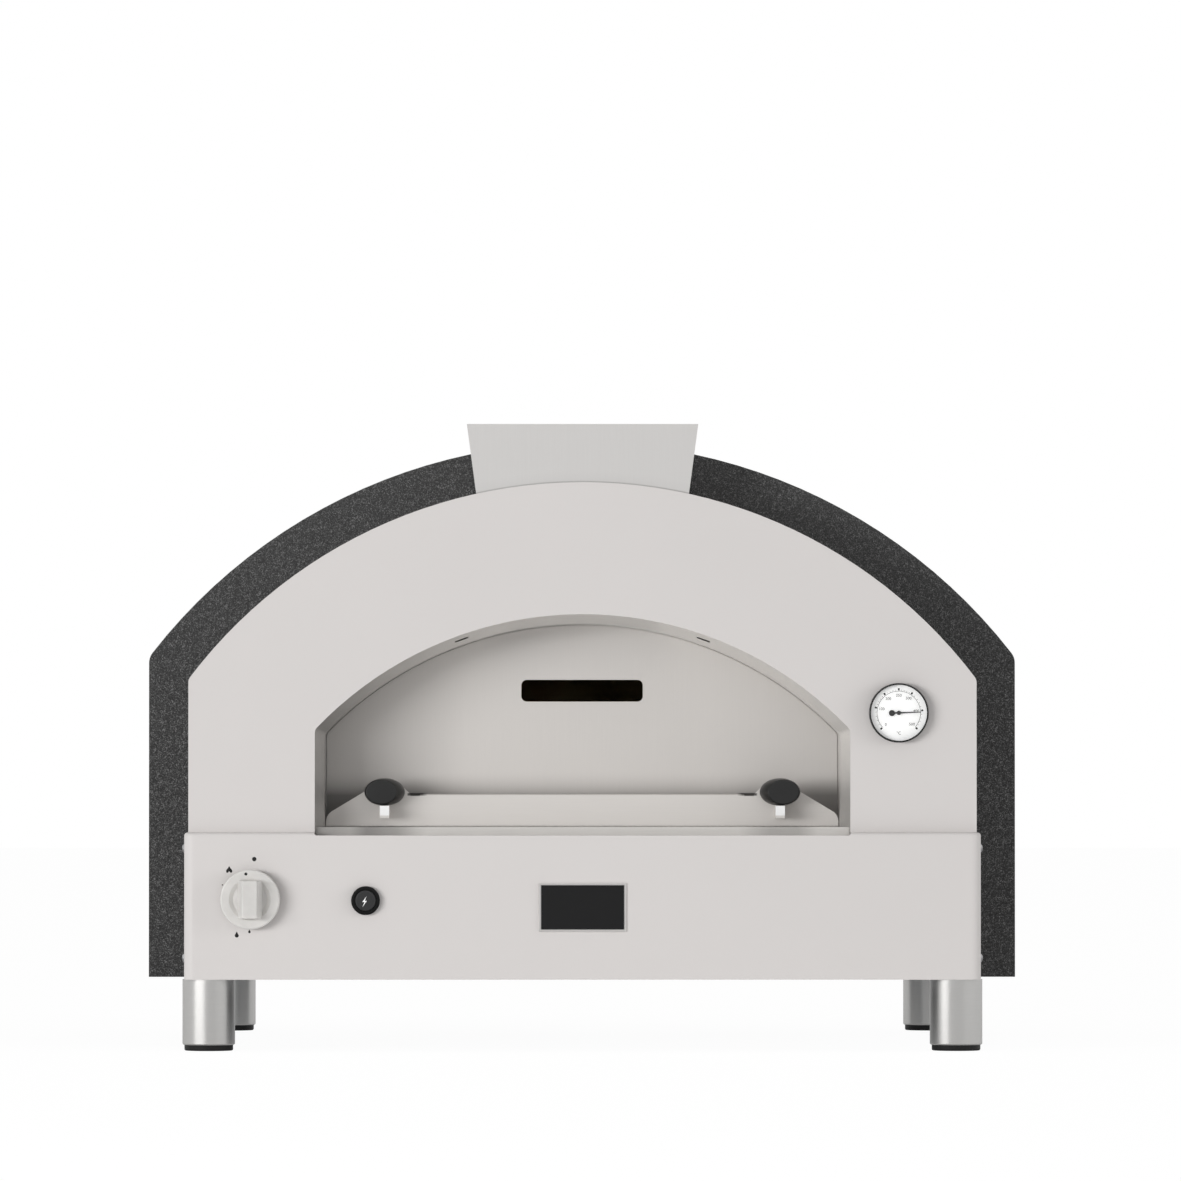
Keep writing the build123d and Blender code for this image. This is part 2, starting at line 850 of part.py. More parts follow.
def burner_section(inset):
    """Half section of the burner's outside, drawn in by an inset."""
    tube_end = chamber_rear_y - fit_gap - burner_front_y
    throat = burner_bell_length
    steady = throat + burner_recovery_length
    return [
        (burner_bell_radius - inset, 0),
        (burner_throat_radius - inset, -throat),
        (burner_radius - inset, -steady),
        (burner_radius - inset, -tube_end + inset),
    ]


# Burner tube: bell mouth, throat and a long barrel with a row of flame ports
def burner_tube():
    outside = burner_section(0)
    inside = burner_section(burner_wall)
    half = outside + [(0, outside[-1][1]), (0, inside[-1][1])] + inside[::-1]
    tube = turned_forward(burner_x, burner_front_y, burner_height, half)
    for index in range(port_count):
        y = wall_back_y + port_start_set + index * port_pitch
        tube -= block(
            (burner_x - port_length / 2, burner_x + port_length / 2),
            (y, y + port_width),
            (burner_height + burner_radius / 2, burner_height + burner_radius + cut_over),
        )
    return tube


# Brass injector, screwed into the valve and pointing into the burner's bell
def burner_injector():
    section = [
        (injector_bore_radius, 0),
        (injector_base_radius, 0),
        (injector_base_radius, -injector_base_length),
        (injector_tip_radius, -injector_base_length - fine_sheet),
        (injector_tip_radius, -injector_length),
        (injector_bore_radius, -injector_length),
    ]
    return turned_forward(burner_x, valve_rear_y, burner_height, section)


def swept_wire(points, radius, bends):
    """A round wire or pipe along straight runs joined by tangent arcs."""
    path = FilletPolyline(*points, radius=bends)
    ring = Plane(origin=path @ 0, z_dir=path % 0) * Circle(radius)
    return sweep(ring, path)


# Spark electrode: a ceramic rod with a bent wire over the first ports
def spark_electrode():
    x = burner_x + probe_side_set
    z = burner_height + probe_rise
    front = ring_back_y - ceramic_front_reach
    back = wall_back_y + ceramic_back_reach
    bend_y = back + spark_wire_reach
    points = [
        (x, back - fine_sheet, z),
        (x, bend_y, z),
        (x - spark_wire_side, bend_y, z - spark_wire_drop),
    ]
    return rod(x, z, ceramic_radius, (front, back)) + swept_wire(points, spark_wire_radius, spark_wire_bend)


# Ignition lead from the igniter's rear to the electrode
def ignition_lead():
    start_y = front_y + sheet + igniter_can_length
    end_x = burner_x + probe_side_set
    end_y = ring_back_y - ceramic_front_reach
    end_z = burner_height + probe_rise
    points = [
        (igniter_x, start_y, igniter_z),
        (igniter_x, start_y + lead_front_run, igniter_z),
        (end_x, end_y - lead_back_run, end_z),
        (end_x, end_y, end_z),
    ]
    return swept_wire(points, lead_radius, lead_bend_radius)


# Thermocouple: a sheathed tip beside the flames, with its lead to the valve's magnet
def thermocouple():
    x = burner_x - probe_side_set
    z = burner_height + probe_rise
    front = ring_back_y - thermocouple_front_reach
    back = wall_back_y + thermocouple_back_reach
    sheath = rod(x, z, thermocouple_radius, (front, back))
    tip = rod(x, z, thermocouple_tip_radius, (back, back + thermocouple_tip_length))
    lead = rod(x, z, thermocouple_lead_radius, (valve_rear_y, front))
    return sheath + tip + lead


# Gas pipe from the rear inlet along the pan and up to the valve
def manifold_pipe():
    start_y = rear_inner_y - sheet - inlet_barrel_length + fine_sheet
    valve_x = knob_x - valve_side
    valve_y = (valve_front_y + valve_rear_y) / 2
    valve_z = knob_z - pipe_valve_drop
    points = [
        (pipe_x, start_y, pipe_z),
        (pipe_x, valve_y, pipe_z),
        (pipe_x, valve_y, valve_z),
        (valve_x, valve_y, valve_z),
    ]
    return swept_wire(points, pipe_radius, pipe_bend_radius)


# Gas inlet: a bulkhead fitting with a hexagon flange and a male nipple
def gas_inlet():
    hex_span = (rear_y, rear_y + inlet_hex_length)
    nipple_end = hex_span[1] + inlet_nipple_length
    barrel_front = rear_inner_y - sheet - inlet_barrel_length
    fitting = hex_bar(pipe_x, pipe_z, inlet_hex_width, hex_span)
    nipple = rod(pipe_x, pipe_z, inlet_nipple_radius, (hex_span[1], nipple_end))
    fitting += chamfer(nipple.edges().group_by(Axis.Y)[-1], fine_sheet)
    fitting += rod(pipe_x, pipe_z, inlet_barrel_radius, (barrel_front, rear_y))
    fitting -= rod(pipe_x, pipe_z, pipe_radius, (barrel_front, barrel_front + fine_sheet))
    fitting -= rod(pipe_x, pipe_z, pipe_radius - fine_sheet, (barrel_front, nipple_end + cut_over))
    return fitting


# Locknut holding the inlet inside the pan
def inlet_locknut():
    back = rear_inner_y - sheet
    y_span = (back - locknut_length, back)
    nut = hex_bar(pipe_x, pipe_z, locknut_width, y_span)
    return nut - rod(pipe_x, pipe_z, inlet_barrel_radius, (y_span[0] - cut_over, y_span[1] + cut_over))


def spindle_section(outset):
    """The spindle's round section with its flat, let out by an outset."""
    round_part = Circle(spindle_radius + outset)
    flat_z = spindle_flat_height + outset
    cutter = Pos(0, flat_z + spindle_radius) * Rectangle(plug_radius * 2, spindle_radius * 2)
    return round_part - cutter


# Gas valve body, with the cavity of its plug and the magnet unit beside it
def valve_body():
    body = block(
        (knob_x - valve_side, burner_x + valve_outlet_side),
        (valve_front_y, valve_rear_y),
        (knob_z - valve_bottom, knob_z + valve_top),
    )
    body = fillet(body.edges().filter_by(Axis.Y), fine_sheet)
    nose = (valve_front_y - valve_nose_reach, valve_front_y)
    body += rod(knob_x, knob_z, valve_nose_radius, nose)
    magnet_x = burner_x - probe_side_set
    magnet_z = burner_height + probe_rise
    body += rod(magnet_x, magnet_z, magnet_radius, (valve_front_y, valve_rear_y))
    body -= rod(knob_x, knob_z, plug_radius + fit_gap, plug_span(fit_gap))
    bore = (nose[0] - cut_over, valve_front_y + cut_over + cut_over)
    return body - rod(knob_x, knob_z, spindle_radius + fit_gap, bore)


def plug_span(outset):
    """Where the plug lies along Y, let out by an outset."""
    middle = (valve_front_y + valve_rear_y) / 2
    half = plug_length / 2 + outset
    return (middle - half, middle + half)


# Valve plug: it turns with the spindle, which slides in its socket
def valve_plug():
    y_span = plug_span(0)
    plug = rod(knob_x, knob_z, plug_radius, y_span)
    socket = Pos(knob_x, knob_z) * spindle_section(fit_gap)
    return plug - slab(socket, (y_span[0] - cut_over, y_span[0] + plug_socket_depth))


# Spindle with its flat, from the plug's socket to the knob
def valve_spindle():
    back = plug_span(0)[0] + spindle_plug_depth
    front = front_y - knob_gap - knob_hub_depth - spindle_knob_depth
    return slab(Pos(knob_x, knob_z) * spindle_section(0), (front, back))


# Folded bracket holding the valve off the panel
def valve_bracket():
    panel_back = front_y + sheet
    x_span = (knob_x - valve_side - bracket_side, burner_x + valve_outlet_side + bracket_side)
    low = knob_z - valve_bottom - bracket_side / 2
    high = knob_z + valve_top + bracket_side / 2
    hat = block(x_span, (panel_back, valve_front_y), (low, high))
    hat -= block(
        (x_span[0] - cut_over, x_span[1] + cut_over),
        (panel_back - cut_over, valve_front_y - fine_sheet),
        (low + fine_sheet, high - fine_sheet),
    )
    feet = block(x_span, (panel_back, panel_back + fine_sheet), (low - bracket_foot, high + bracket_foot))
    feet -= block(
        (x_span[0] - cut_over, x_span[1] + cut_over),
        (panel_back - cut_over, valve_front_y),
        (low + fine_sheet, high - fine_sheet),
    )
    bracket = hat + feet
    nose_hole = (valve_front_y - fine_sheet - cut_over / 2, valve_front_y + cut_over)
    return bracket - rod(knob_x, knob_z, valve_nose_radius, nose_hole)


# Control knob: a dished disc with a tapered grip across it
def control_knob():
    back = front_y - knob_gap
    disc = turned_forward(
        knob_x,
        back,
        knob_z,
        [
            (0, 0),
            (knob_radius, 0),
            (knob_radius, knob_skirt_depth),
            (knob_dish_radius, knob_skirt_depth),
            (knob_dish_radius - knob_dish_run, knob_skirt_depth - knob_dish_depth),
            (0, knob_skirt_depth - knob_dish_depth),
        ],
    )
    rim = disc.edges().filter_by(GeomType.CIRCLE).group_by(Axis.Y)[0]
    disc = fillet(rim.sort_by(SortBy.RADIUS)[-1], knob_edge_radius)
    grip_back = back - knob_skirt_depth + knob_dish_depth + fine_sheet
    grip_front = front_y - knob_reach
    base_plane = Plane(origin=(knob_x, grip_back, knob_z), x_dir=(1, 0, 0), z_dir=(0, -1, 0))
    top_plane = Plane(origin=(knob_x, grip_front, knob_z), x_dir=(1, 0, 0), z_dir=(0, -1, 0))
    grip = loft(
        [
            base_plane * RectangleRounded(grip_base_width, grip_length + fine_sheet, grip_corner_radius),
            top_plane * RectangleRounded(grip_top_width, grip_length, grip_corner_radius),
        ]
    )
    grip = fillet(grip.faces().sort_by(Axis.Y)[0].edges(), grip_corner_radius / 2)
    knob = disc + grip
    bore_front = front_y - knob_gap - knob_hub_depth - spindle_knob_depth
    return knob - slab(Pos(knob_x, knob_z) * spindle_section(0), (bore_front, back + cut_over))


# Igniter body: a bezel in front of the panel, a threaded barrel and the can behind it
def igniter_body():
    panel_back = front_y + sheet
    bezel = turned_forward(
        igniter_x,
        front_y,
        igniter_z,
        [
            (0, 0),
            (igniter_bezel_radius, 0),
            (igniter_bezel_radius, igniter_bezel_reach),
            (0, igniter_bezel_reach),
        ],
    )
    bezel = fillet(bezel.edges().group_by(Axis.Y)[0], igniter_bezel_edge)
    barrel = (front_y, panel_back + igniter_barrel_length)
    can = (front_y, panel_back + igniter_can_length)
    body = bezel + rod(igniter_x, igniter_z, igniter_barrel_radius, barrel)
    body += rod(igniter_x, igniter_z, igniter_can_radius, can)
    bore_back = front_y - igniter_bezel_reach + igniter_button_length + igniter_travel + fine_sheet
    bore_front = front_y - igniter_bezel_reach - cut_over
    return body - rod(igniter_x, igniter_z, igniter_button_radius + fit_gap, (bore_front, bore_back))


# Igniter button: a plunger with a slightly domed face
def igniter_button():
    front = front_y - igniter_bezel_reach - igniter_button_proud
    back = front + igniter_button_length
    button = rod(igniter_x, igniter_z, igniter_button_radius, (front, back))
    return fillet(button.edges().group_by(Axis.Y)[0], igniter_button_dome)


# Igniter nut, tightened behind the panel
def igniter_nut():
    y_span = (front_y + sheet, front_y + sheet + igniter_nut_length)
    nut = hex_bar(igniter_x, igniter_z, igniter_nut_width, y_span)
    through = (y_span[0] - cut_over, y_span[1] + cut_over)
    return nut - rod(igniter_x, igniter_z, igniter_barrel_radius, through)


def chimney_half_width(height):
    """Half width of the chimney's outside at a height."""
    return chimney_top_half_width - (chimney_top - height) * tan(radians(chimney_taper_angle))


def chimney_form(inset, z_span, y_span):
    """The chimney's tapered form, drawn in by an inset."""
    low = chimney_half_width(z_span[0]) - inset
    high = chimney_half_width(z_span[1]) - inset
    bottom, top = z_span
    outline = Polyline((-low, bottom), (low, bottom), (high, top), (-high, top), close=True)
    return slab(make_face(outline), y_span)


# Chimney: an open funnel of folded sheet, saddled onto the surround
def chimney():
    low = fascia_arc_height + fascia_arc_radius - chimney_overlap
    y_span = (fascia_back_y, shell_front_y - chimney_rear_set)
    funnel = chimney_form(0, (low, chimney_top), y_span)
    inner_y = (y_span[0] + fine_sheet, y_span[1] - fine_sheet)
    funnel -= chimney_form(fine_sheet, (low - cut_over, chimney_top + cut_over), inner_y)
    saddle = (fascia_y - cut_over, shell_front_y + cut_over)
    return funnel - slab(fascia_arch(0, base_top), saddle)


# Flue collar: a square duct from the tunnel's roof up into the chimney
def flue_collar():
    low = mouth_arc_height + tunnel_arc_radius / 2
    high = fascia_arc_height + fascia_arc_radius + flue_top_reach
    duct = flue_block(0, (low, high)) - flue_block(-fine_sheet, (low - cut_over, high + cut_over))
    tunnel = (fascia_y - cut_over, shell_front_y + cut_over)
    return duct - slab(mouth_arch(lip_inset - fine_sheet, mouth_floor), tunnel)


# Leg: a stainless tube closed by a welded cap that takes the bolt
def leg(side, y):
    low = glide_height
    section = [
        (bolt_radius, base_bottom),
        (leg_radius, base_bottom),
        (leg_radius, low + leg_foot_chamfer),
        (leg_radius - leg_foot_chamfer, low),
        (leg_radius - leg_wall, low),
        (leg_radius - leg_wall, base_bottom - leg_cap),
        (bolt_radius, base_bottom - leg_cap),
    ]
    return Pos(side * leg_x, y, 0) * turned(section)


# Glide: a moulded foot with a spigot pressed into the leg
def glide(side, y):
    spigot_radius = leg_radius - leg_wall
    section = [
        (0, 0),
        (glide_radius, 0),
        (glide_radius, glide_height),
        (spigot_radius, glide_height),
        (spigot_radius, glide_height + glide_spigot_height),
        (0, glide_height + glide_spigot_height),
    ]
    foot = Pos(side * leg_x, y, 0) * turned(section)
    return fillet(foot.edges().group_by(Axis.Z)[0], glide_edge_radius)


# Leg bolts: a hexagon head and washer inside the pan, a shank down into the leg's cap
def leg_bolts():
    seat = base_bottom + sheet
    head_low = seat + bolt_washer_height
    bolts = []
    for side in (-1, 1):
        for y in (leg_front_y, leg_rear_y):
            shank = Pos(0, 0, head_low - bolt_length) * Cylinder(
                bolt_radius, bolt_length, align=(Align.CENTER, Align.CENTER, Align.MIN)
            )
            washer = Pos(0, 0, seat) * Cylinder(
                bolt_washer_radius, bolt_washer_height, align=(Align.CENTER, Align.CENTER, Align.MIN)
            )
            hexagon = RegularPolygon(bolt_head_width / 2, hexagon_sides, major_radius=False)
            head = extrude(Pos(0, 0, head_low) * hexagon, amount=bolt_head_height)
            bolts.append(Pos(side * leg_x, y, 0) * (shank + washer + head))
    return bolts


# Thermometer case: a shallow cup with a rolled rim that holds the glass
def thermometer_case():
    section = [
        (stem_radius, 0),
        (case_radius, 0),
        (case_radius, case_depth),
        (case_radius - case_lip, case_depth),
        (case_radius - case_lip, case_depth - case_lip_depth),
        (case_radius - case_wall, case_depth - case_lip_depth),
        (case_radius - case_wall, case_wall),
        (stem_radius, case_wall),
    ]
    case = turned_forward(dial_x, fascia_y, dial_z, section)
    rim = case.edges().filter_by(GeomType.CIRCLE).group_by(Axis.Y)[0].sort_by(SortBy.RADIUS)[-1]
    return fillet(rim, case_edge_radius)


def case_disc(thickness, back_y, hole_radius):
    """A disc that fits the case, with an optional hole in its middle."""
    disc = rod(dial_x, dial_z, case_radius - case_wall, (back_y - thickness, back_y))
    if hole_radius:
        disc -= rod(dial_x, dial_z, hole_radius, (back_y - cut_over, back_y + cut_over))
    return disc


# Thermometer dial
def thermometer_dial():
    return case_disc(dial_thickness, fascia_y - dial_set, arbor_radius + fit_gap)


# Thermometer glass, behind the case's rim
def thermometer_glass():
    return case_disc(glass_thickness, fascia_y - case_depth + case_lip_depth + glass_thickness, 0)


# Thermometer needle with its counterweight, on the arbor that turns it
def thermometer_needle():
    back = fascia_y - dial_set - dial_thickness - needle_dial_gap
    front = back - needle_thickness
    blade = Polyline(
        (-needle_tail, -needle_width / 2),
        (0, -needle_width / 2),
        (needle_length, -needle_tip_width / 2),
        (needle_length, needle_tip_width / 2),
        (0, needle_width / 2),
        (-needle_tail, needle_width / 2),
        close=True,
    )
    outline = make_face(blade)
    outline += Pos(-needle_tail, 0) * Circle(needle_weight_radius)
    outline += Circle(needle_hub_radius)
    place = Pos(dial_x, dial_z) * Rot(Z=needle_tilt)
    needle = slab(place * outline, (front, back))
    needle += rod(dial_x, dial_z, needle_hub_radius, (back - needle_hub_length, back))
    needle += rod(dial_x, dial_z, arbor_radius, (front, front + arbor_length))
    return needle


# Thermometer probe: a threaded boss through the front plate and a stem into the chamber
def thermometer_probe():
    boss = rod(dial_x, dial_z, stem_boss_radius, (fascia_y, fascia_y + stem_boss_length))
    stem = rod(dial_x, dial_z, stem_radius, (fascia_y - case_wall, fascia_y + stem_length))
    probe = boss + fillet(stem.edges().group_by(Axis.Y)[-1], stem_radius / 2)
    bore = (fascia_y - cut_over, fascia_y + arbor_length)
    return probe - rod(dial_x, dial_z, arbor_radius + fit_gap, bore)


# Thermometer nut, tightened behind the front plate
def thermometer_nut():
    y_span = (fascia_back_y, fascia_back_y + stem_nut_length)
    nut = hex_bar(dial_x, dial_z, stem_nut_width, y_span)
    return nut - rod(dial_x, dial_z, stem_boss_radius, (y_span[0] - cut_over, y_span[1] + cut_over))


# Door panel: an arched plate with a viewing slot
def door_panel():
    through = (door_front_y - cut_over, door_back_y + cut_over)
    panel = slab(mouth_arch(lip_inset + door_side_gap, door_bottom), (door_front_y, door_back_y))
    slot = Pos(0, door_slot_z) * RectangleRounded(door_slot_width, door_slot_height, door_slot_radius)
    return panel - slab(slot, through)


def door_foot_outline():
    """The door foot's front view: a level middle, ears rising beside it and sloping wings."""
    top = door_bottom + door_foot_rise
    ear_top = top + door_ear_rise
    side = tunnel_half_width - door_ear_side_set
    ear_start = door_shelf_half_width + door_relief_width
    flat_start = ear_start + door_ear_rise
    slope_start = flat_start + door_ear_flat
    slope_foot = ear_top - door_ear_slope_drop
    right = [
        (side, door_bottom),
        (side, slope_foot),
        (slope_start, ear_top),
        (flat_start, ear_top),
        (ear_start, top),
        (ear_start, top - door_relief_height),
        (door_shelf_half_width, top - door_relief_height),
        (door_shelf_half_width, top),
    ]
    left = [(-x, z) for x, z in right[::-1]]
    outline = make_face(Polyline(*right, *left, close=True))
    ends = [corner for corner in outline.vertices() if abs(corner.Y - slope_foot) < fit_gap]
    return fillet(ends, door_ear_corner_radius)


def knob_arm(side):
    """A square bar welded to the door foot, with a tang that carries the knob."""
    x = side * door_arm_x
    half = door_arm_width / 2
    x_span = (x - half, x + half)
    y_span = (foot_front_y - door_arm_reach, foot_front_y)
    top = door_arm_z + door_arm_height
    arm = block(x_span, y_span, (door_arm_z, top))
    tang_y = foot_front_y - door_knob_gap - door_knob_depth / 2
    tang = (tang_y - door_tang_depth / 2, tang_y + door_tang_depth / 2)
    return arm + block(x_span, tang, (top, top + door_tang_height))


# Door foot: a folded stand along the door's lower edge, with the two knob arms
def door_foot():
    plate = slab(door_foot_outline(), (foot_front_y, foot_front_y + sheet))
    top = door_bottom + door_foot_rise
    plate += block(
        (-door_shelf_half_width, door_shelf_half_width),
        (foot_front_y, door_front_y),
        (top - sheet, top),
    )
    bend = plate.edges().filter_by(Axis.X).sort_by_distance((0, foot_front_y, top))[0]
    plate = fillet(bend, sheet - fit_gap)
    for side in (-1, 1):
        plate += knob_arm(side)
    return plate


# Door knob: an oval grip that narrows to a flat nose set outwards
def door_knob(side):
    x = side * door_arm_x
    z = door_arm_z + door_arm_height + door_knob_height / 2
    back = foot_front_y - door_knob_gap
    front = back - door_knob_depth
    middle = (back + front) / 2
    sections = [
        (back, 0, door_knob_nose_width, door_knob_nose_height),
        (middle, 0, door_knob_width, door_knob_height),
        (front, side * door_knob_nose_shift, door_knob_nose_width, door_knob_nose_height),
    ]
    faces = []
    for y, shift, width, height in sections:
        plane = Plane(origin=(x + shift, y, z), x_dir=(1, 0, 0), z_dir=(0, -1, 0))
        faces.append(plane * Ellipse(width / 2, height / 2))
    grip = loft(faces)
    grip = fillet(grip.faces().sort_by(Axis.Y)[0].edges(), door_knob_nose_radius)
    return grip - knob_arm(side)


def placed(side):
    """left or right, for a node's name."""
    return "left" if side < 0 else "right"


def export(name, shape):
    """Write one node's solids to its own file."""
    solids = shape if isinstance(shape, list) else [shape]
    bodies = [solid for item in solids for solid in item.solids()]
    export_step(Compound(children=bodies, label=name), f"parts/{name}.step")


os.makedirs("parts", exist_ok=True)

single_pieces = [
    outer_shell,
    rear_panel,
    front_fascia,
    front_surround,
    mouth_liner,
    mouth_sill,
    control_panel,
    base_pan,
    chamber_vault,
    chamber_front_wall,
    chamber_rear_wall,
    vault_blanket,
    rear_insulation,
    front_insulation,
    floor_tray,
    floor_insulation,
    burner_trough,
    burner_guard,
    burner_tube,
    burner_injector,
    spark_electrode,
    ignition_lead,
    thermocouple,
    manifold_pipe,
    gas_inlet,
    inlet_locknut,
    valve_body,
    valve_plug,
    valve_spindle,
    valve_bracket,
    control_knob,
    igniter_body,
    igniter_button,
    igniter_nut,
    chimney,
    flue_collar,
    leg_bolts,
    thermometer_case,
    thermometer_dial,
    thermometer_glass,
    thermometer_needle,
    thermometer_probe,
    thermometer_nut,
    door_panel,
    door_foot,
]
for piece in single_pieces:
    export(piece.__name__, piece())

for side in (-1, 1):
    export(f"door_knob_{placed(side)}", door_knob(side))
    for depth, y in (("front", leg_front_y), ("rear", leg_rear_y)):
        export(f"leg_{depth}_{placed(side)}", leg(side, y))
        export(f"glide_{depth}_{placed(side)}", glide(side, y))

for column in range(tile_columns):
    for row in range(tile_rows):
        place = ("front", "rear")[row]
        hand = ("left", "right")[column]
        export(f"hearth_tile_{place}_{hand}", hearth_tile(column, row))
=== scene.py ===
import math

import bmesh
import bpy
from mathutils import Matrix, Vector


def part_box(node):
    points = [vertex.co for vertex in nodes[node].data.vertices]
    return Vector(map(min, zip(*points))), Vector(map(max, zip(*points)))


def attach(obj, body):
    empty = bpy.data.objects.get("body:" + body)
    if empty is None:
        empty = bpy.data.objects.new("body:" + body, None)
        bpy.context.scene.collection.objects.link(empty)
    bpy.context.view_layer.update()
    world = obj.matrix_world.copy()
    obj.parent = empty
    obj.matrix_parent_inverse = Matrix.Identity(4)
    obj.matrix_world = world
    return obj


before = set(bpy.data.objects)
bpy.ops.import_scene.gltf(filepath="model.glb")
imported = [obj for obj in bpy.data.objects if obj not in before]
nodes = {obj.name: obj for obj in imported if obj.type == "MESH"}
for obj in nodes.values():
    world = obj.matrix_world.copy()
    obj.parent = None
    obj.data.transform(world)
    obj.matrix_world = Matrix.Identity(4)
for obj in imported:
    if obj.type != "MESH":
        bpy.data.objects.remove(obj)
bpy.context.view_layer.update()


# Studio: a white floor and surroundings, a wide low lamp at the camera's left and a weaker one
# at its right. The camera stands 6.9 m in front of the base, at half the oven's height, behind
# a long lens. Four cards, seen only in reflections, give the metal its grey and dark edges; the
# dark and the dim one are painted shade, standing in for the shade under the oven.
class Field:
    """A socket of a shader tree. Arithmetic on it adds Math nodes, node() adds any other."""

    def __init__(self, tree, socket=None):
        self.tree = tree
        self.socket = socket

    def node(self, kind, settings=(), inputs=(), output=0):
        """Adds a node: its settings first, then the values or links of its sockets."""
        made = self.tree.nodes.new("ShaderNode" + kind)
        for name, value in dict(settings).items():
            if name == "stops":
                stops = made.color_ramp.elements
                for index, (position, colour) in enumerate(value):
                    # A new ramp already has two stops.
                    stop = stops[index] if index < 2 else stops.new(position)
                    stop.position = position
                    stop.color = colour
            else:
                setattr(made, name, value)
        for name, value in dict(inputs).items():
            if isinstance(value, Field):
                self.tree.links.new(value.socket, made.inputs[name])
            else:
                made.inputs[name].default_value = value
        return Field(self.tree, made.outputs[output] if made.outputs else None)

    def math(self, operation, *values):
        """A Math node on values or links."""
        return self.node("Math", {"operation": operation}, dict(enumerate(values)))

    def __add__(self, other):
        return self.math("ADD", self, other)

    def __sub__(self, other):
        return self.math("SUBTRACT", self, other)

    def __rsub__(self, other):
        return self.math("SUBTRACT", other, self)

    def __mul__(self, other):
        return self.math("MULTIPLY", self, other)

    __radd__ = __add__
    __rmul__ = __mul__

    def between(self, low, high):
        """0 up to low, 1 from high, and even between them."""
        inputs = {"Value": self, "From Min": low, "From Max": high}
        return self.node("MapRange", {"clamp": True}, inputs)

    def colours(self, first, second):
        """A colour that goes from the first at 0 to the second at 1."""
        return self.node("Mix", {"data_type": "RGBA"}, {0: self, 6: first, 7: second}, 2)

    def stretched(self, scales):
        """This vector times a scale along each axis."""
        return self.node("VectorMath", {"operation": "MULTIPLY"}, {0: self, 1: scales})

    def noise(self, scale, detail=2.0, roughness=0.5):
        """Noise from 0 to 1 at this place, with its scale in cells per metre."""
        inputs = {"Vector": self, "Scale": scale, "Detail": detail, "Roughness": roughness}
        return self.node("TexNoise", {}, inputs)

    def bump(self, depth):
        """A normal from this height, 0 to 1 standing for a depth in metres."""
        return self.node("Bump", {}, {"Height": self, "Strength": 1.0, "Distance": depth})


def new_tree(owner):
    """An empty shader tree on a material or a world."""
    owner.use_nodes = True
    owner.node_tree.nodes.clear()
    return Field(owner.node_tree)


def link(thing):
    """Puts an object in the scene."""
    bpy.context.scene.collection.objects.link(thing)
    return thing


bpy.context.scene.view_settings.view_transform = "Standard"

camera = link(bpy.data.objects.new("camera", bpy.data.cameras.new("camera")))
camera.location = (-0.0322, -7.130, 0.2172)
camera_aim = Vector((0.005522, 1.0, 0.016775))
camera.rotation_euler = camera_aim.to_track_quat("-Z", "Y").to_euler()
camera.data.sensor_width = 36.0
camera.data.lens = 289.8
camera.data.clip_end = 100.0
bpy.context.scene.camera = camera

lamp_target = Vector((0, 0, 0.22))
for name, place, size, power in (
    ("main_lamp", (-2.9, -3.75, 0.45), (2.6, 0.9), 112.0),
    ("filling_lamp", (4.2, -1.9, 0.7), (1.8, 1.6), 44.0),
):
    lamp = link(bpy.data.objects.new(name, bpy.data.lights.new(name, "AREA")))
    lamp.location = place
    lamp.rotation_euler = (lamp_target - lamp.location).to_track_quat("-Z", "Y").to_euler()
    lamp.data.shape = "RECTANGLE"
    lamp.data.size, lamp.data.size_y = size
    lamp.data.energy = power
    lamp.visible_glossy = False

white = (1, 1, 1, 1)
room_level = 0.36
world = bpy.data.worlds.new("studio")
bpy.context.scene.world = world
air = new_tree(world)
seen = air.node("LightPath", output="Is Camera Ray")
for kind in ("Is Glossy Ray", "Is Transmission Ray"):
    seen = seen.math("MAXIMUM", seen, air.node("LightPath", output=kind))
air_level = room_level + (1 - room_level) * seen
surroundings = air.node("Background", {}, {"Color": white, "Strength": air_level})
air.node("OutputWorld", {}, {"Surface": surroundings})


def flat_card(name, corners, material):
    """A flat four-cornered sheet of the studio, not part of the oven."""
    mesh = bpy.data.meshes.new(name)
    mesh.from_pydata(corners, [], [(0, 1, 2, 3)])
    mesh.materials.append(material)
    card = link(bpy.data.objects.new(name, mesh))
    return card


floor_material = bpy.data.materials.new("studio_floor")
floor = new_tree(floor_material)
floor_white = (0.9, 0.9, 0.9, 1)
floor_glow = 1.06
matt = floor.node("BsdfDiffuse", {}, {"Color": floor_white})
glow = floor.node("Emission", {}, {"Color": white, "Strength": floor_glow})
seen = floor.node("LightPath", output="Is Camera Ray")
seen = seen.math("MAXIMUM", seen, floor.node("LightPath", output="Is Transmission Ray"))
in_metal = floor.node("LightPath", output="Is Glossy Ray")
in_matt = floor.node("LightPath", output="Is Diffuse Ray")
glow_share = 0.90 * seen + 0.22 * in_metal + 0.52 * in_matt
lit = floor.node("MixShader", {}, {0: glow_share, 1: matt, 2: glow})
below = floor.node("NewGeometry", output="Backfacing")
clear = floor.node("BsdfTransparent")
whole = floor.node("MixShader", {}, {0: below, 1: lit, 2: clear})
floor.node("OutputMaterial", {}, {"Surface": whole})
floor_reach = 14.0
floor_corners = [
    (-floor_reach, -floor_reach, 0),
    (floor_reach, -floor_reach, 0),
    (floor_reach, floor_reach, 0),
    (-floor_reach, floor_reach, 0),
]
flat_card("floor", floor_corners, floor_material)
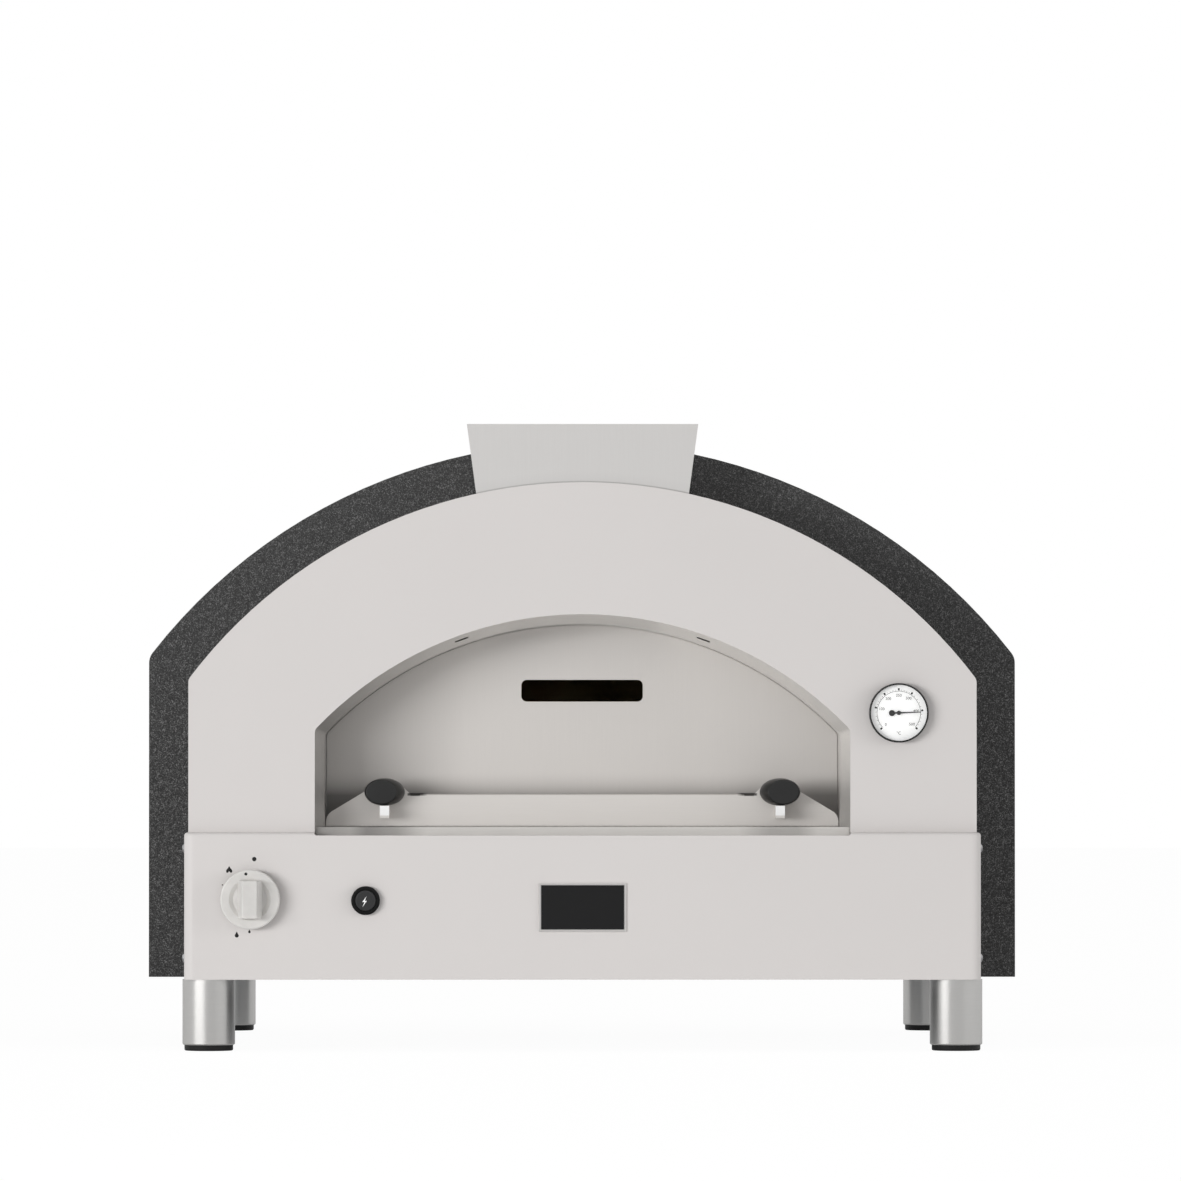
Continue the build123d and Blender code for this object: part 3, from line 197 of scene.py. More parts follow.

# Each card stands upright on a line from start to end. The dark and the dim one stand
# lengthwise between the legs, as painted shade for the space under the oven.
for name, level, start, end, foot, top in (
    ("grey_card", 0.80, (-7, -10), (7, -10), -3, 5),
    ("strip_card", 3.1, (-1.46, -0.89), (-0.69, -1.54), 0, 0.3),
    ("dark_shade_card", 0.06, (0, -0.28), (0, -0.06), 0, 0.045),
    ("dim_shade_card", 0.24, (0, -0.06), (0, 0.26), 0, 0.045),
):
    corners = [(*start, foot), (*end, foot), (*end, top), (*start, top)]
    card_material = bpy.data.materials.new(name)
    tree = new_tree(card_material)
    tree.node("OutputMaterial", {}, {"Surface": tree.node("Emission", {}, {"Strength": level})})
    card = flat_card(name, corners, card_material)
    card.visible_camera = False
    card.visible_diffuse = False
    card.visible_transmission = False
    card.visible_shadow = False


# Front plate, surround and base casing: folded steel sheet under a warm light grey powder
# coat, which has a satin gloss and a fine orange peel. The surround and plate are one welded
# arch that stands on the casing's deck.
def rgb(red, green, blue):
    """A colour, given as it looks on screen from 0 to 255, in the renderer's own scale."""
    linear = []
    for value in (red, green, blue):
        share = value / 255
        linear.append(((share + 0.055) / 1.055) ** 2.4 if share > 0.04045 else share / 12.92)
    return linear + [1.0]


def principled(tree, inputs):
    """Closes a material with its one shader."""
    shader = tree.node("BsdfPrincipled", {}, inputs)
    tree.node("OutputMaterial", {}, {"Surface": shader})


def dress(material, *names):
    """Gives CAD nodes a material."""
    for name in names:
        nodes[name].data.materials.clear()
        nodes[name].data.materials.append(material)


def sprayed_coat(name, colour, cloud, gloss, peel_scale, peel_depth):
    """A sprayed coat: its colour, how far it clouds, its roughness, and its peel."""
    material = bpy.data.materials.new(name)
    tree = new_tree(material)
    place = tree.node("TexCoord", output="Object")
    patches = place.noise(9.0, 3.0)
    paler = [min(1.0, part * (1 + cloud)) for part in colour[:3]] + [1.0]
    darker = [part * (1 - cloud) for part in colour[:3]] + [1.0]
    peel = place.noise(peel_scale, 2.0)
    principled(tree, {
        "Base Color": patches.colours(darker, paler),
        "Roughness": gloss + 0.08 * peel,
        "Normal": peel.bump(peel_depth),
    })
    return material


pale_coat = sprayed_coat("pale_coat", rgb(213, 209, 207), 0.015, 0.42, 650.0, 0.00003)
dress(pale_coat, "front_fascia", "front_surround", "control_panel")


# Outer shell and rear panel: one arched steel skin and a plain back plate, both under a
# coarse dark grey coat with paler flecks in it. Painted light makes the crown a little paler,
# and painted shade makes the foot a little darker.
def part_of(place, axis):
    """One coordinate of a place."""
    return place.node("SeparateXYZ", {}, {0: place}, axis)


fleck_and_crown_light_grey = rgb(128, 128, 128)
pit_and_foot_shade_black = rgb(16, 16, 16)
dark_coat = bpy.data.materials.new("dark_coat")
tree = new_tree(dark_coat)
place = tree.node("TexCoord", output="Object")
grit = place.noise(1100.0, 2.0, 0.6)
clumps = place.noise(260.0, 3.0, 0.6).between(0.36, 0.66)
specks = place.noise(1500.0, 1.0, 0.5).between(0.50, 0.68)
pits = place.noise(700.0, 2.0, 0.6).between(0.60, 0.40)
shade = grit.between(0.25, 0.75).colours(rgb(35, 35, 35), rgb(70, 70, 70))
shade = (0.55 * pits).colours(shade, pit_and_foot_shade_black)
shade = ((0.25 + 0.75 * clumps) * specks).colours(shade, fleck_and_crown_light_grey)
height = part_of(place, "Z")
# Painted light pales the crown, and painted shade darkens the foot.
crown_painted_light = 0.075 * height.between(0.22, 0.38)
shade = crown_painted_light.colours(shade, fleck_and_crown_light_grey)
foot_painted_shade = 0.14 - 0.14 * height.between(0.06, 0.20)
shade = foot_painted_shade.colours(shade, pit_and_foot_shade_black)
principled(tree, {
    "Base Color": shade,
    "Roughness": 0.62 + 0.2 * grit,
    "Specular IOR Level": 0.3,
    "Normal": (grit + 0.5 * specks - 0.5 * pits).bump(0.00012),
})
dress(dark_coat, "outer_shell", "rear_panel")


# Chimney and flue: an open funnel of fine-ground stainless sheet, folded and welded at its
# corners, saddled on the surround over a square duct from the mouth's roof.
def ground_steel(name, colour, gloss, grain, streak=0.07, smudge=0.06, metal=1.0):
    """Ground sheet or tube: its colour, its roughness, and the scales and shade of its lines."""
    material = bpy.data.materials.new(name)
    tree = new_tree(material)
    place = tree.node("TexCoord", output="Object")
    lines = place.stretched(grain).noise(1.0, 3.0, 0.6)
    handling = place.noise(14.0, 4.0)
    dull = [part * (1 - streak) for part in colour[:3]] + [1.0]
    principled(tree, {
        "Base Color": lines.between(0.25, 0.75).colours(dull, colour),
        "Metallic": metal,
        "Roughness": gloss + smudge * handling + 0.08 * lines,
        "Normal": lines.bump(0.00017 * streak),
    })
    return material


def paint_over(material, colour, depth):
    """Paints a colour over a material's colour, 0 to 1 deep as a function of the place says."""
    tree = Field(material.node_tree)
    base = material.node_tree.nodes["Principled BSDF"].inputs["Base Color"]
    under = Field(material.node_tree, base.links[0].from_socket)
    over = depth(tree.node("TexCoord", output="Object")).colours(under, colour)
    material.node_tree.links.new(over.socket, base)


def crown_seam_shadow(place):
    """Painted shadow where the funnel drops behind the front plate's crown: a sharp line, and a soft
    shade that fades out above it.
    """
    arc_middle = (0.0, 0.0, 0.0551)
    flat = place.stretched((1.0, 0.0, 1.0))
    out = flat.node("VectorMath", {"operation": "DISTANCE"}, {0: flat, 1: arc_middle}, "Value")
    shadow_line = 1 - out.between(0.3561, 0.3569)
    soft_shade = 1 - out.between(0.3557, 0.3640)
    return 0.26 * shadow_line + 0.05 * soft_shade


chimney_grey = rgb(223, 221, 219)
chimney_grain = (1800.0, 900.0, 40.0)
chimney_steel = ground_steel("chimney_steel", chimney_grey, 0.42, chimney_grain, 0.03, 0.04, 0.7)
# A brown-grey laid on as painted shade and painted shadow.
shade_brown = rgb(40, 38, 36)
# A painted shadow line and soft painted shade along the front plate's crown.
paint_over(chimney_steel, shade_brown, crown_seam_shadow)
dress(chimney_steel, "chimney", "flue_collar")


# Mouth: a stainless liner whose lip flares to the front plate and has a tab slot on each
# side, over a folded floor plate whose apron is welded to the lip at its ends. Both are satin
# sheet, and so is the chamber's front wall. Painted shade darkens the lip and the front wall
# low down and on the burner's side, and painted shadows lie on the apron's left end and under
# both grips.
def liner_painted_shade(place):
    """Painted shade, deep at the foot of the lip and up the burner's side, from where it thins along
    the arch.
    """
    foot = 0.52 - 0.52 * part_of(place, "Z").between(0.158, 0.240)
    burner_side = 0.52 - 0.52 * part_of(place, "X").between(-0.186, -0.030)
    return foot.math("MAXIMUM", foot, burner_side) * (0.85 + 0.3 * place.noise(60.0, 3.0))


def sill_painted_shadows(place):
    """Painted shadows: at the left end, on the burner's side, and under both grips."""
    across = part_of(place, "X")
    left_end = 0.55 - 0.55 * across.between(-0.192, -0.120)
    left_grip_shadow = across.between(-0.168, -0.156) - across.between(-0.134, -0.112)
    right_grip_shadow = across.between(0.112, 0.136) - across.between(0.156, 0.170)
    return left_end + 0.32 * (left_grip_shadow + right_grip_shadow)


liner_grain = (45.0, 900.0, 900.0)
liner_steel = ground_steel("liner_steel", rgb(236, 233, 229), 0.28, liner_grain, metal=0.38)
# Painted shade on the lip and the chamber's front wall, low down and on the burner's side.
paint_over(liner_steel, shade_brown, liner_painted_shade)
dress(liner_steel, "mouth_liner", "chamber_front_wall")
sill_steel = ground_steel("sill_steel", rgb(214, 211, 207), 0.34, liner_grain, metal=0.4)
# Painted shadows on the apron: its left end and under both grips.
paint_over(sill_steel, shade_brown, sill_painted_shadows)
dress(sill_steel, "mouth_sill")


def add_prism(form, outline, back, front):
    """Adds a closed flat form: an outline of (x, z) points given depth along Y."""
    far = [form.verts.new((x, back, z)) for x, z in outline]
    near = [form.verts.new((x, front, z)) for x, z in outline]
    form.faces.new(near)
    form.faces.new(far[::-1])
    for index, corner in enumerate(near):
        after = (index + 1) % len(near)
        form.faces.new((corner, far[index], far[after], near[after]))


def make_piece(name, form, material, body, smooth=False):
    """Turns a built form into a piece of the oven that rides on a body."""
    bmesh.ops.recalc_face_normals(form, faces=form.faces)
    mesh = bpy.data.meshes.new(name)
    form.to_mesh(mesh)
    form.free()
    mesh.materials.append(material)
    if smooth:
        mesh.shade_smooth()
        mesh.set_sharp_from_angle(angle=math.radians(35))
    piece = link(bpy.data.objects.new(name, mesh))
    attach(piece, body)


sill_low, sill_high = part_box("mouth_sill")
weld_back = sill_low.y + 0.0040
weld_front = sill_low.y + 0.0002
weld_start = sill_high.x - 0.0060
weld_foot = 0.1556
weld_top = 0.1614
weld_outline = [
    (weld_start, weld_foot),
    (0.1923, weld_foot),
    (0.1930, 0.1563),
    (0.1930, 0.1571),
    (0.1924, weld_top),
    (weld_start, weld_top),
]
welds = bmesh.new()
for side in (-1, 1):
    add_prism(welds, [(side * x, z) for x, z in weld_outline], weld_back, weld_front)
make_piece("sill_welds", welds, sill_steel, "oven")


# Door: an arched plate with a viewing slot, spot-welded to a folded stand along its foot,
# in the same satin sheet. Two square bars on the stand carry the grips. Painted shade darkens
# the plate a little just above the stand and towards both sides, most on the burner's side.
# Painted shadows mark the stand's relief slits, and painted highlights the bars' front ends.
def panel_painted_shade(place):
    """Painted shade: a band just above the stand, and a slow fade to both sides, deeper on the
    burner's.
    """
    above_stand = 1 - part_of(place, "Z").between(0.184, 0.203)
    burner_side = 1 - part_of(place, "X").between(-0.190, -0.085)
    far_side = part_of(place, "X").between(0.090, 0.190)
    return 0.50 * above_stand * above_stand + 0.30 * burner_side + 0.10 * far_side


def stand_slit_shadows(place):
    """Painted shadow of the relief slits at both ends of the stand's fold."""
    across = part_of(place, "X")
    across = across.math("ABSOLUTE", across)
    height = part_of(place, "Z")
    width = across.between(0.1125, 0.1165) - across.between(0.1266, 0.1276)
    thickness = height.between(0.1838, 0.1842) - height.between(0.1856, 0.1860)
    return 0.85 * width * thickness


def bar_end_highlights(place):
    """A painted highlight on the bars' ground front ends, stopped short of their lower edge, which is
    left darker as painted shade.
    """
    front_end = 1 - part_of(place, "Y").between(-0.2341, -0.2337)
    above_edge = part_of(place, "Z").between(0.1692, 0.1702)
    return front_end * above_edge


door_streak = 0.025
door_metal = 0.25
panel_grey = rgb(217, 213, 209)
panel_grain = (1400.0, 900.0, 24.0)
panel_steel = ground_steel("panel_steel", panel_grey, 0.36, panel_grain, door_streak, metal=door_metal)
# Painted shade just above the stand and towards both sides of the plate.
paint_over(panel_steel, shade_brown, panel_painted_shade)
# Painted shadow of the stand's relief slits, on the plate and on the stand.
paint_over(panel_steel, shade_brown, stand_slit_shadows)
dress(panel_steel, "door_panel")
stand_grey = rgb(222, 218, 214)
stand_grain = (30.0, 900.0, 1400.0)
stand_steel = ground_steel("stand_steel", stand_grey, 0.36, stand_grain, door_streak, metal=door_metal)
highlight_steel = rgb(254, 254, 254)
paint_over(stand_steel, shade_brown, stand_slit_shadows)
# Painted highlight on the bars' front ends.
paint_over(stand_steel, highlight_steel, bar_end_highlights)
dress(stand_steel, "door_foot")


def moulded_plastic(name, colour, gloss, grain_depth, shine=0.5):
    """Injection-moulded plastic with a fine spark-eroded grain."""
    material = bpy.data.materials.new(name)
    tree = new_tree(material)
    place = tree.node("TexCoord", output="Object")
    grain = place.noise(1800.0, 2.0)
    handling = place.noise(60.0, 3.0)
    worn = [min(1.0, part * 1.12 + 0.002) for part in colour[:3]] + [1.0]
    principled(tree, {
        "Base Color": handling.between(0.35, 0.7).colours(colour, worn),
        "Roughness": gloss + 0.12 * handling,
        "Specular IOR Level": shine,
        "Normal": grain.bump(grain_depth),
    })
    return material


grip_plastic = moulded_plastic("grip_plastic", rgb(22, 22, 22), 0.30, 0.00002)
dress(grip_plastic, "door_knob_left", "door_knob_right")


# Base pan, floor tray and valve bracket: zinc-coated sheet with its faint spangle, folded
# and spot-welded. The pan carries the legs, whose bolts stand inside it. Those bolts and the
# igniter's nut are zinc-coated too.
def zinc_sheet(name, colour):
    """Zinc-coated steel: cells of spangle that differ in shade and in gloss."""
    material = bpy.data.materials.new(name)
    tree = new_tree(material)
    place = tree.node("TexCoord", output="Object")
    cells = place.node("TexVoronoi", {"feature": "F1"}, {"Vector": place, "Scale": 140.0}, "Color")
    spangle = cells.node("SeparateColor", {}, {0: cells})
    dull = [part * 0.86 for part in colour[:3]] + [1.0]
    principled(tree, {
        "Base Color": spangle.colours(dull, colour),
        "Metallic": 1.0,
        "Roughness": 0.34 + 0.16 * spangle,
        "Normal": place.noise(900.0, 2.0).bump(0.00001),
    })
    return material


zinc_steel = zinc_sheet("zinc_steel", rgb(190, 193, 196))
dress(zinc_steel, "base_pan", "floor_tray", "valve_bracket", "leg_bolts", "igniter_nut")


# Legs: short lengths of satin stainless tube, each closed by a welded cap at its top and by
# a black moulded glide pressed into its foot.
leg_steel = ground_steel("leg_steel", rgb(208, 207, 205), 0.26, (70.0, 70.0, 1500.0), 0.04, 0.03)
dress(leg_steel, "leg_front_left", "leg_front_right", "leg_rear_left", "leg_rear_right")
glide_plastic = moulded_plastic("glide_plastic", rgb(14, 14, 14), 0.5, 0.00003, 0.35)
dress(glide_plastic, "glide_front_left", "glide_front_right", "glide_rear_left", "glide_rear_right")


# Cooking chamber, burner and thermocouple: stainless sheet and tube that the fire has tinted
# straw, brown and blue, most of all beside the burner and under the crown, with soot in
# patches. The sheet is folded and spot-welded.
chamber_steel = bpy.data.materials.new("chamber_steel")
tree = new_tree(chamber_steel)
place = tree.node("TexCoord", output="Object")
across = part_of(place, "X")
height = part_of(place, "Z")
patches = place.noise(11.0, 5.0, 0.6)
burner_side = 1 - across.between(-0.27, 0.20)
under_crown = height.between(0.12, 0.36)
heat = (0.55 * burner_side + 0.35 * under_crown + 0.5 * patches - 0.25).between(0.0, 1.0)
tints = [
    (0.0, rgb(184, 180, 172)),
    (0.35, rgb(178, 160, 120)),
    (0.6, rgb(150, 112, 82)),
    (0.8, rgb(104, 92, 112)),
    (1.0, rgb(92, 106, 126)),
]
tinted = heat.node("ValToRGB", {"stops": tints}, {0: heat})
soot = place.noise(34.0, 6.0, 0.7)
soot_patches = soot.between(0.5, 0.8)
tinted = (0.5 * soot_patches).colours(tinted, rgb(64, 58, 52))
principled(tree, {
    "Base Color": tinted,
    "Metallic": 1.0 - 0.45 * soot_patches,
    "Roughness": 0.36 + 0.3 * soot,
    "Normal": place.noise(420.0, 3.0).bump(0.00003),
})
dress(
    chamber_steel,
    "chamber_vault",
    "chamber_rear_wall",
    "burner_trough",
    "burner_guard",
    "burner_tube",
    "thermocouple",
)


# Insulation: needled ceramic fibre, white and faintly quilted by its layers, packed between
# the chamber and the shell, behind the chamber, in the surround and under the tiles.
fibre = bpy.data.materials.new("fibre")
tree = new_tree(fibre)
place = tree.node("TexCoord", output="Object")
strands = place.stretched((380.0, 60.0, 380.0)).noise(1.0, 6.0, 0.7)
tufts = place.noise(95.0, 5.0, 0.65)
principled(tree, {
    "Base Color": tufts.between(0.3, 0.7).colours(rgb(222, 217, 205), rgb(240, 238, 231)),
    "Roughness": 0.95,
    "Sheen Weight": 0.4,
    "Normal": (strands + tufts).bump(0.0006),
})
dress(fibre, "vault_blanket", "rear_insulation", "front_insulation", "floor_insulation")


# Hearth tiles: sawn cordierite, pale and speckled with dark grains and open pores, baked
# darker on the side next to the burner and dusted with old flour.
tile_stone = bpy.data.materials.new("tile_stone")
tree = new_tree(tile_stone)
place = tree.node("TexCoord", output="Object")
across = part_of(place, "X")
mottle = place.noise(26.0, 6.0, 0.6)
grains = place.node("TexVoronoi", {"feature": "F1"}, {"Vector": place, "Scale": 420.0}, "Distance")
pores = place.noise(330.0, 4.0, 0.7)
stone = mottle.between(0.3, 0.7).colours(rgb(198, 182, 156), rgb(218, 205, 182))
dark_grains = 1 - grains.between(0.05, 0.22)
stone = (0.55 * dark_grains).colours(stone, rgb(128, 108, 84))
burner_side = 1 - across.between(-0.21, 0.02)
baked = (0.6 * burner_side + 0.55 * mottle - 0.2).between(0.0, 1.0)
stone = (0.55 * baked).colours(stone, rgb(120, 92, 66))
flour = place.noise(17.0, 5.0, 0.65).between(0.55, 0.75)
stone = (0.35 * flour).colours(stone, rgb(236, 230, 216))
open_pores = 1 - pores.between(0.32, 0.42)
principled(tree, {
    "Base Color": stone,
    "Roughness": 0.82 + 0.1 * pores,
    "Normal": (pores - 0.5 * open_pores).bump(0.0003),
})
dress(
    tile_stone,
    "hearth_tile_front_left",
    "hearth_tile_front_right",
    "hearth_tile_rear_left",
    "hearth_tile_rear_right",
)


# Gas train: a machined brass valve, plug, injector and inlet with its locknut, joined by a
# drawn aluminium pipe. The spindle, the probe and its nut are turned steel.
def turned_metal(name, colour, gloss, tool_marks):
    """Metal off a lathe or a drawing die, with fine marks across the Y axis."""
    material = bpy.data.materials.new(name)
    tree = new_tree(material)
    place = tree.node("TexCoord", output="Object")
    marks = place.stretched((120.0, tool_marks, 120.0)).noise(1.0, 2.0)
    tarnish = place.noise(75.0, 4.0)
    aged = [part * share for part, share in zip(colour[:3], (0.78, 0.72, 0.66))] + [1.0]
    principled(tree, {
        "Base Color": (0.5 * tarnish.between(0.4, 0.75)).colours(colour, aged),
        "Metallic": 1.0,
        "Roughness": gloss + 0.14 * tarnish,
        "Normal": marks.bump(0.00001),
    })
    return material


brass = turned_metal("brass", rgb(205, 176, 112), 0.24, 2400.0)
dress(brass, "burner_injector", "gas_inlet", "inlet_locknut", "valve_body", "valve_plug")
pipe_aluminium = turned_metal("pipe_aluminium", rgb(200, 201, 203), 0.30, 40.0)
dress(pipe_aluminium, "manifold_pipe")
turned_steel = turned_metal("turned_steel", rgb(188, 188, 190), 0.22, 2600.0)
dress(turned_steel, "valve_spindle", "thermometer_probe", "thermometer_nut")


# Spark electrode and its lead: a glazed white alumina rod, and a stranded wire under soft
# red-brown silicone that runs from the igniter.
alumina = bpy.data.materials.new("alumina")
tree = new_tree(alumina)
place = tree.node("TexCoord", output="Object")
stain = place.noise(240.0, 4.0, 0.6)
along = part_of(place, "Y")
scorched = (0.6 * along.between(-0.175, -0.150)) * stain.between(0.3, 0.7)
principled(tree, {
    "Base Color": scorched.colours(rgb(236, 232, 222), rgb(120, 104, 88)),
    "Roughness": 0.18 + 0.3 * stain,
    "Coat Weight": 0.5,
    "Normal": stain.bump(0.00002),
})
dress(alumina, "spark_electrode")

lead_rubber = moulded_plastic("lead_rubber", rgb(150, 62, 44), 0.55, 0.00004)
dress(lead_rubber, "ignition_lead")


# Control knob: a satin light grey moulding, a dished disc with a tapered grip across it. A
# black index dot is printed on its rim, a little to the left of the grip's line.
knob_plastic = moulded_plastic("knob_plastic", rgb(214, 212, 209), 0.34, 0.00001)
# Light that enters the moulding softens its shades.
knob_shader = knob_plastic.node_tree.nodes["Principled BSDF"]
knob_shader.inputs["Subsurface Weight"].default_value = 0.35
knob_shader.inputs["Subsurface Radius"].default_value = (0.004, 0.004, 0.004)
knob_shader.inputs["Subsurface Scale"].default_value = 1.0
dress(knob_plastic, "control_knob")


def round_outline(x, z, radius, steps=32):
    """A circle's points in the front view."""
    turns = [2 * math.pi * step / steps for step in range(steps)]
    return [(x + radius * math.cos(turn), z + radius * math.sin(turn)) for turn in turns]


def print_ink(name, colour, gloss=0.5):
    """Screen-printed ink: nearly flat, with a faint break-up of its film."""
    material = bpy.data.materials.new(name)
    tree = new_tree(material)
    place = tree.node("TexCoord", output="Object")
    film = place.noise(5200.0, 3.0)
    thin = [min(1.0, part * 1.25 + 0.004) for part in colour[:3]] + [1.0]
    principled(tree, {
        "Base Color": film.between(0.45, 0.8).colours(colour, thin),
        "Roughness": gloss + 0.15 * film,
        "Normal": film.bump(0.000004),
    })
    return material


black_ink = print_ink("black_ink", rgb(5, 5, 5))
ink_depth = 0.00006
knob_low, knob_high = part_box("control_knob")
knob_x = (knob_low.x + knob_high.x) / 2
knob_z = (knob_low.z + knob_high.z) / 2
knob_rim_y = -0.2815
dot_outline = round_outline(knob_x - 0.0029, knob_z + 0.0184, 0.0011, 20)
index_dot = bmesh.new()
add_prism(index_dot, dot_outline, knob_rim_y + ink_depth, knob_rim_y - ink_depth)
make_piece("knob_index_dot", index_dot, black_ink, "gas_knob")


# Control marks: black ink on the casing round the knob. A dot stands for off and a large and
# a small flame for high and low. A round speck and a small drop lie close to the rim.
panel_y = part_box("control_panel")[0].y
notched_flame = [(0.0, 0.55), (0.16, 0.26), (0.36, 0.06), (0.46, -0.18)]
notched_flame += [(0.38, -0.40), (0.20, -0.45), (0.08, -0.28), (0.0, -0.20)]
plain_drop = [(0.0, 0.62), (0.20, 0.22), (0.36, -0.02), (0.38, -0.24), (0.22, -0.44), (0.0, -0.50)]


def flame_outline(half, x, z, height):
    """A flame's points in the front view, from its right half, which starts at the tip."""
    shape = half + [(-across, up) for across, up in half[-2:0:-1]]
    return [(x + height * across, z + height * up) for across, up in shape]


off_dot = round_outline(-0.2368, 0.1385, 0.0016)
high_flame = flame_outline(notched_flame, -0.2549, 0.1308, 0.0050)
round_speck = round_outline(-0.2598, 0.1199, 0.0005, 16)
low_flame = flame_outline(plain_drop, -0.2494, 0.0839, 0.0039)
small_drop = flame_outline(plain_drop, -0.2403, 0.0863, 0.0024)
marks = bmesh.new()
for outline in (off_dot, high_flame, round_speck, low_flame, small_drop):
    add_prism(marks, outline, panel_y + ink_depth, panel_y - ink_depth)
make_piece("control_marks", marks, black_ink, "oven")


# Igniter: a black moulded bezel, barrel and can, with a plunger that carries a printed white
# spark. A nut behind the casing holds it.
bezel_plastic = moulded_plastic("bezel_plastic", rgb(6, 6, 6), 0.45, 0.00001, 0.2)
dress(bezel_plastic, "igniter_body")
button_plastic = moulded_plastic("button_plastic", rgb(34, 34, 35), 0.30, 0.00001)
dress(button_plastic, "igniter_button")

white_ink = print_ink("white_ink", rgb(250, 250, 249))
button_low, button_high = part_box("igniter_button")
button_x = (button_low.x + button_high.x) / 2
button_z = (button_low.z + button_high.z) / 2
spark_shape = [(0.36, 1.0), (-0.42, -0.10), (0.0, -0.06), (-0.40, -1.0), (0.44, 0.16), (0.04, 0.12)]
spark_height = 0.0039
spark_x = button_x - 0.0007
spark_z = button_z - 0.0007
spark_outline = [
    (spark_x + spark_height * across, spark_z + spark_height * up)
    for across, up in spark_shape
]
spark = bmesh.new()
add_prism(spark, spark_outline, button_low.y + ink_depth, button_low.y - ink_depth)
make_piece("igniter_spark_mark", spark, white_ink, "igniter_push")


# Thermometer: a black enamelled case and rim, a white enamelled dial under flat glass, and a
# black needle with a round counterweight. Its scale is printed round the dial.
def enamel(name, colour, gloss, shine=0.5, glow=0.0):
    """Smooth baked enamel, a little uneven in its gloss, with a painted glow in its own colour, as
    strong as glow.
    """
    material = bpy.data.materials.new(name)
    tree = new_tree(material)
    place = tree.node("TexCoord", output="Object")
    flow = place.noise(130.0, 3.0)
    darker = [part * 0.94 for part in colour[:3]] + [1.0]
    principled(tree, {
        "Base Color": flow.colours(darker, colour),
        "Roughness": gloss + 0.08 * flow,
        "Specular IOR Level": shine,
        "Emission Color": colour,
        "Emission Strength": glow,
        "Normal": flow.bump(0.00001),
    })
    return material


dress(enamel("case_enamel", rgb(22, 22, 23), 0.16), "thermometer_case")
# The dial's glow is painted light, which keeps its face white.
dress(enamel("dial_enamel", rgb(255, 255, 254), 0.34, 0.3, 0.16), "thermometer_dial")
dress(enamel("needle_enamel", rgb(20, 20, 20), 0.3), "thermometer_needle")

glass = bpy.data.materials.new("dial_glass")
tree = new_tree(glass)
facing = tree.node("LayerWeight", {}, {"Blend": 0.2}, "Facing")
dust = tree.node("TexCoord", output="Object").noise(700.0, 3.0)
principled(tree, {
    "Base Color": (0.95, 0.97, 0.97, 1.0),
    "Roughness": 0.03 + 0.05 * dust,
    "Alpha": 0.02 + 0.3 * facing,
})
dress(glass, "thermometer_glass")

dial_low, dial_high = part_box("thermometer_dial")
dial_x = (dial_low.x + dial_high.x) / 2
dial_z = (dial_low.z + dial_high.z) / 2
dial_back = dial_low.y + ink_depth
dial_front = dial_low.y - ink_depth
scale_marks = bmesh.new()


def on_dial(radius, turn):
    """A point of the dial at a radius, turned clockwise from the top, in degrees."""
    angle = math.radians(turn)
    return dial_x + radius * math.sin(angle), dial_z + radius * math.cos(angle)


def dial_tick(turn, inner, outer, width):
    """A tick along a radius."""
    half = math.degrees(width / 2 / outer)
    half_in = math.degrees(width / 2 / inner)
    corners = [on_dial(inner, turn - half_in), on_dial(outer, turn - half)]
    corners += [on_dial(outer, turn + half), on_dial(inner, turn + half_in)]
    add_prism(scale_marks, corners, dial_back, dial_front)


def dial_arc(start, end, radius, width):
    """A thin arc of the scale."""
    steps = max(2, int(abs(end - start) / 4))
    turns = [start + (end - start) * step / steps for step in range(steps + 1)]
    rim = [on_dial(radius + width / 2, turn) for turn in turns]
    rim += [on_dial(radius - width / 2, turn) for turn in turns[::-1]]
    add_prism(scale_marks, rim, dial_back, dial_front)


def add_numeral(form, text, x, z, height, back, front):
    """Adds a number or unit in the plain built-in face, standing upright about a point."""
    curve = bpy.data.curves.new("numeral", "FONT")
    curve.body = text
    curve.size = height
    curve.align_x = "CENTER"
    curve.align_y = "CENTER"
    curve.extrude = (back - front) / 2
    words = bpy.data.objects.new("numeral", curve)
    mesh = bpy.data.meshes.new_from_object(words)
    upright = Matrix.Rotation(math.pi / 2, 4, "X")
    mesh.transform(Matrix.Translation((x, (back + front) / 2, z)) @ upright)
    form.from_mesh(mesh)
    bpy.data.objects.remove(words)
    bpy.data.meshes.remove(mesh)
    bpy.data.curves.remove(curve)


number_radius = 0.0126
number_height = 0.0029
unit_height = 0.0032
unit_z = dial_z - 0.0147
arc_radius = 0.0157
tick_inner = 0.0162
short_tick_outer = 0.0169
long_tick_outer = 0.0178
long_tick_width = 0.0013
fine_line = 0.0003
dial_numbers = (
    (-132, "0"),
    (-77, "100"),
    (-37, "200"),
    (0, "250"),
    (34, "300"),
    (84, "400"),
    (131, "500"),
)
for turn, text in dial_numbers:
    dial_tick(turn, tick_inner, long_tick_outer, long_tick_width)
    number_x, number_z = on_dial(number_radius, turn)
    add_numeral(scale_marks, text, number_x, number_z, number_height, dial_back, dial_front)
for first, second in zip(dial_numbers, dial_numbers[1:]):
    for part in (1, 2, 3, 4):
        turn = first[0] + (second[0] - first[0]) * part / 5
        dial_tick(turn, tick_inner, short_tick_outer, fine_line)
dial_arc(dial_numbers[0][0], dial_numbers[-1][0], arc_radius, fine_line)
add_numeral(scale_marks, "°C", dial_x, unit_z, unit_height, dial_back, dial_front)
make_piece("dial_scale", scale_marks, black_ink, "oven")


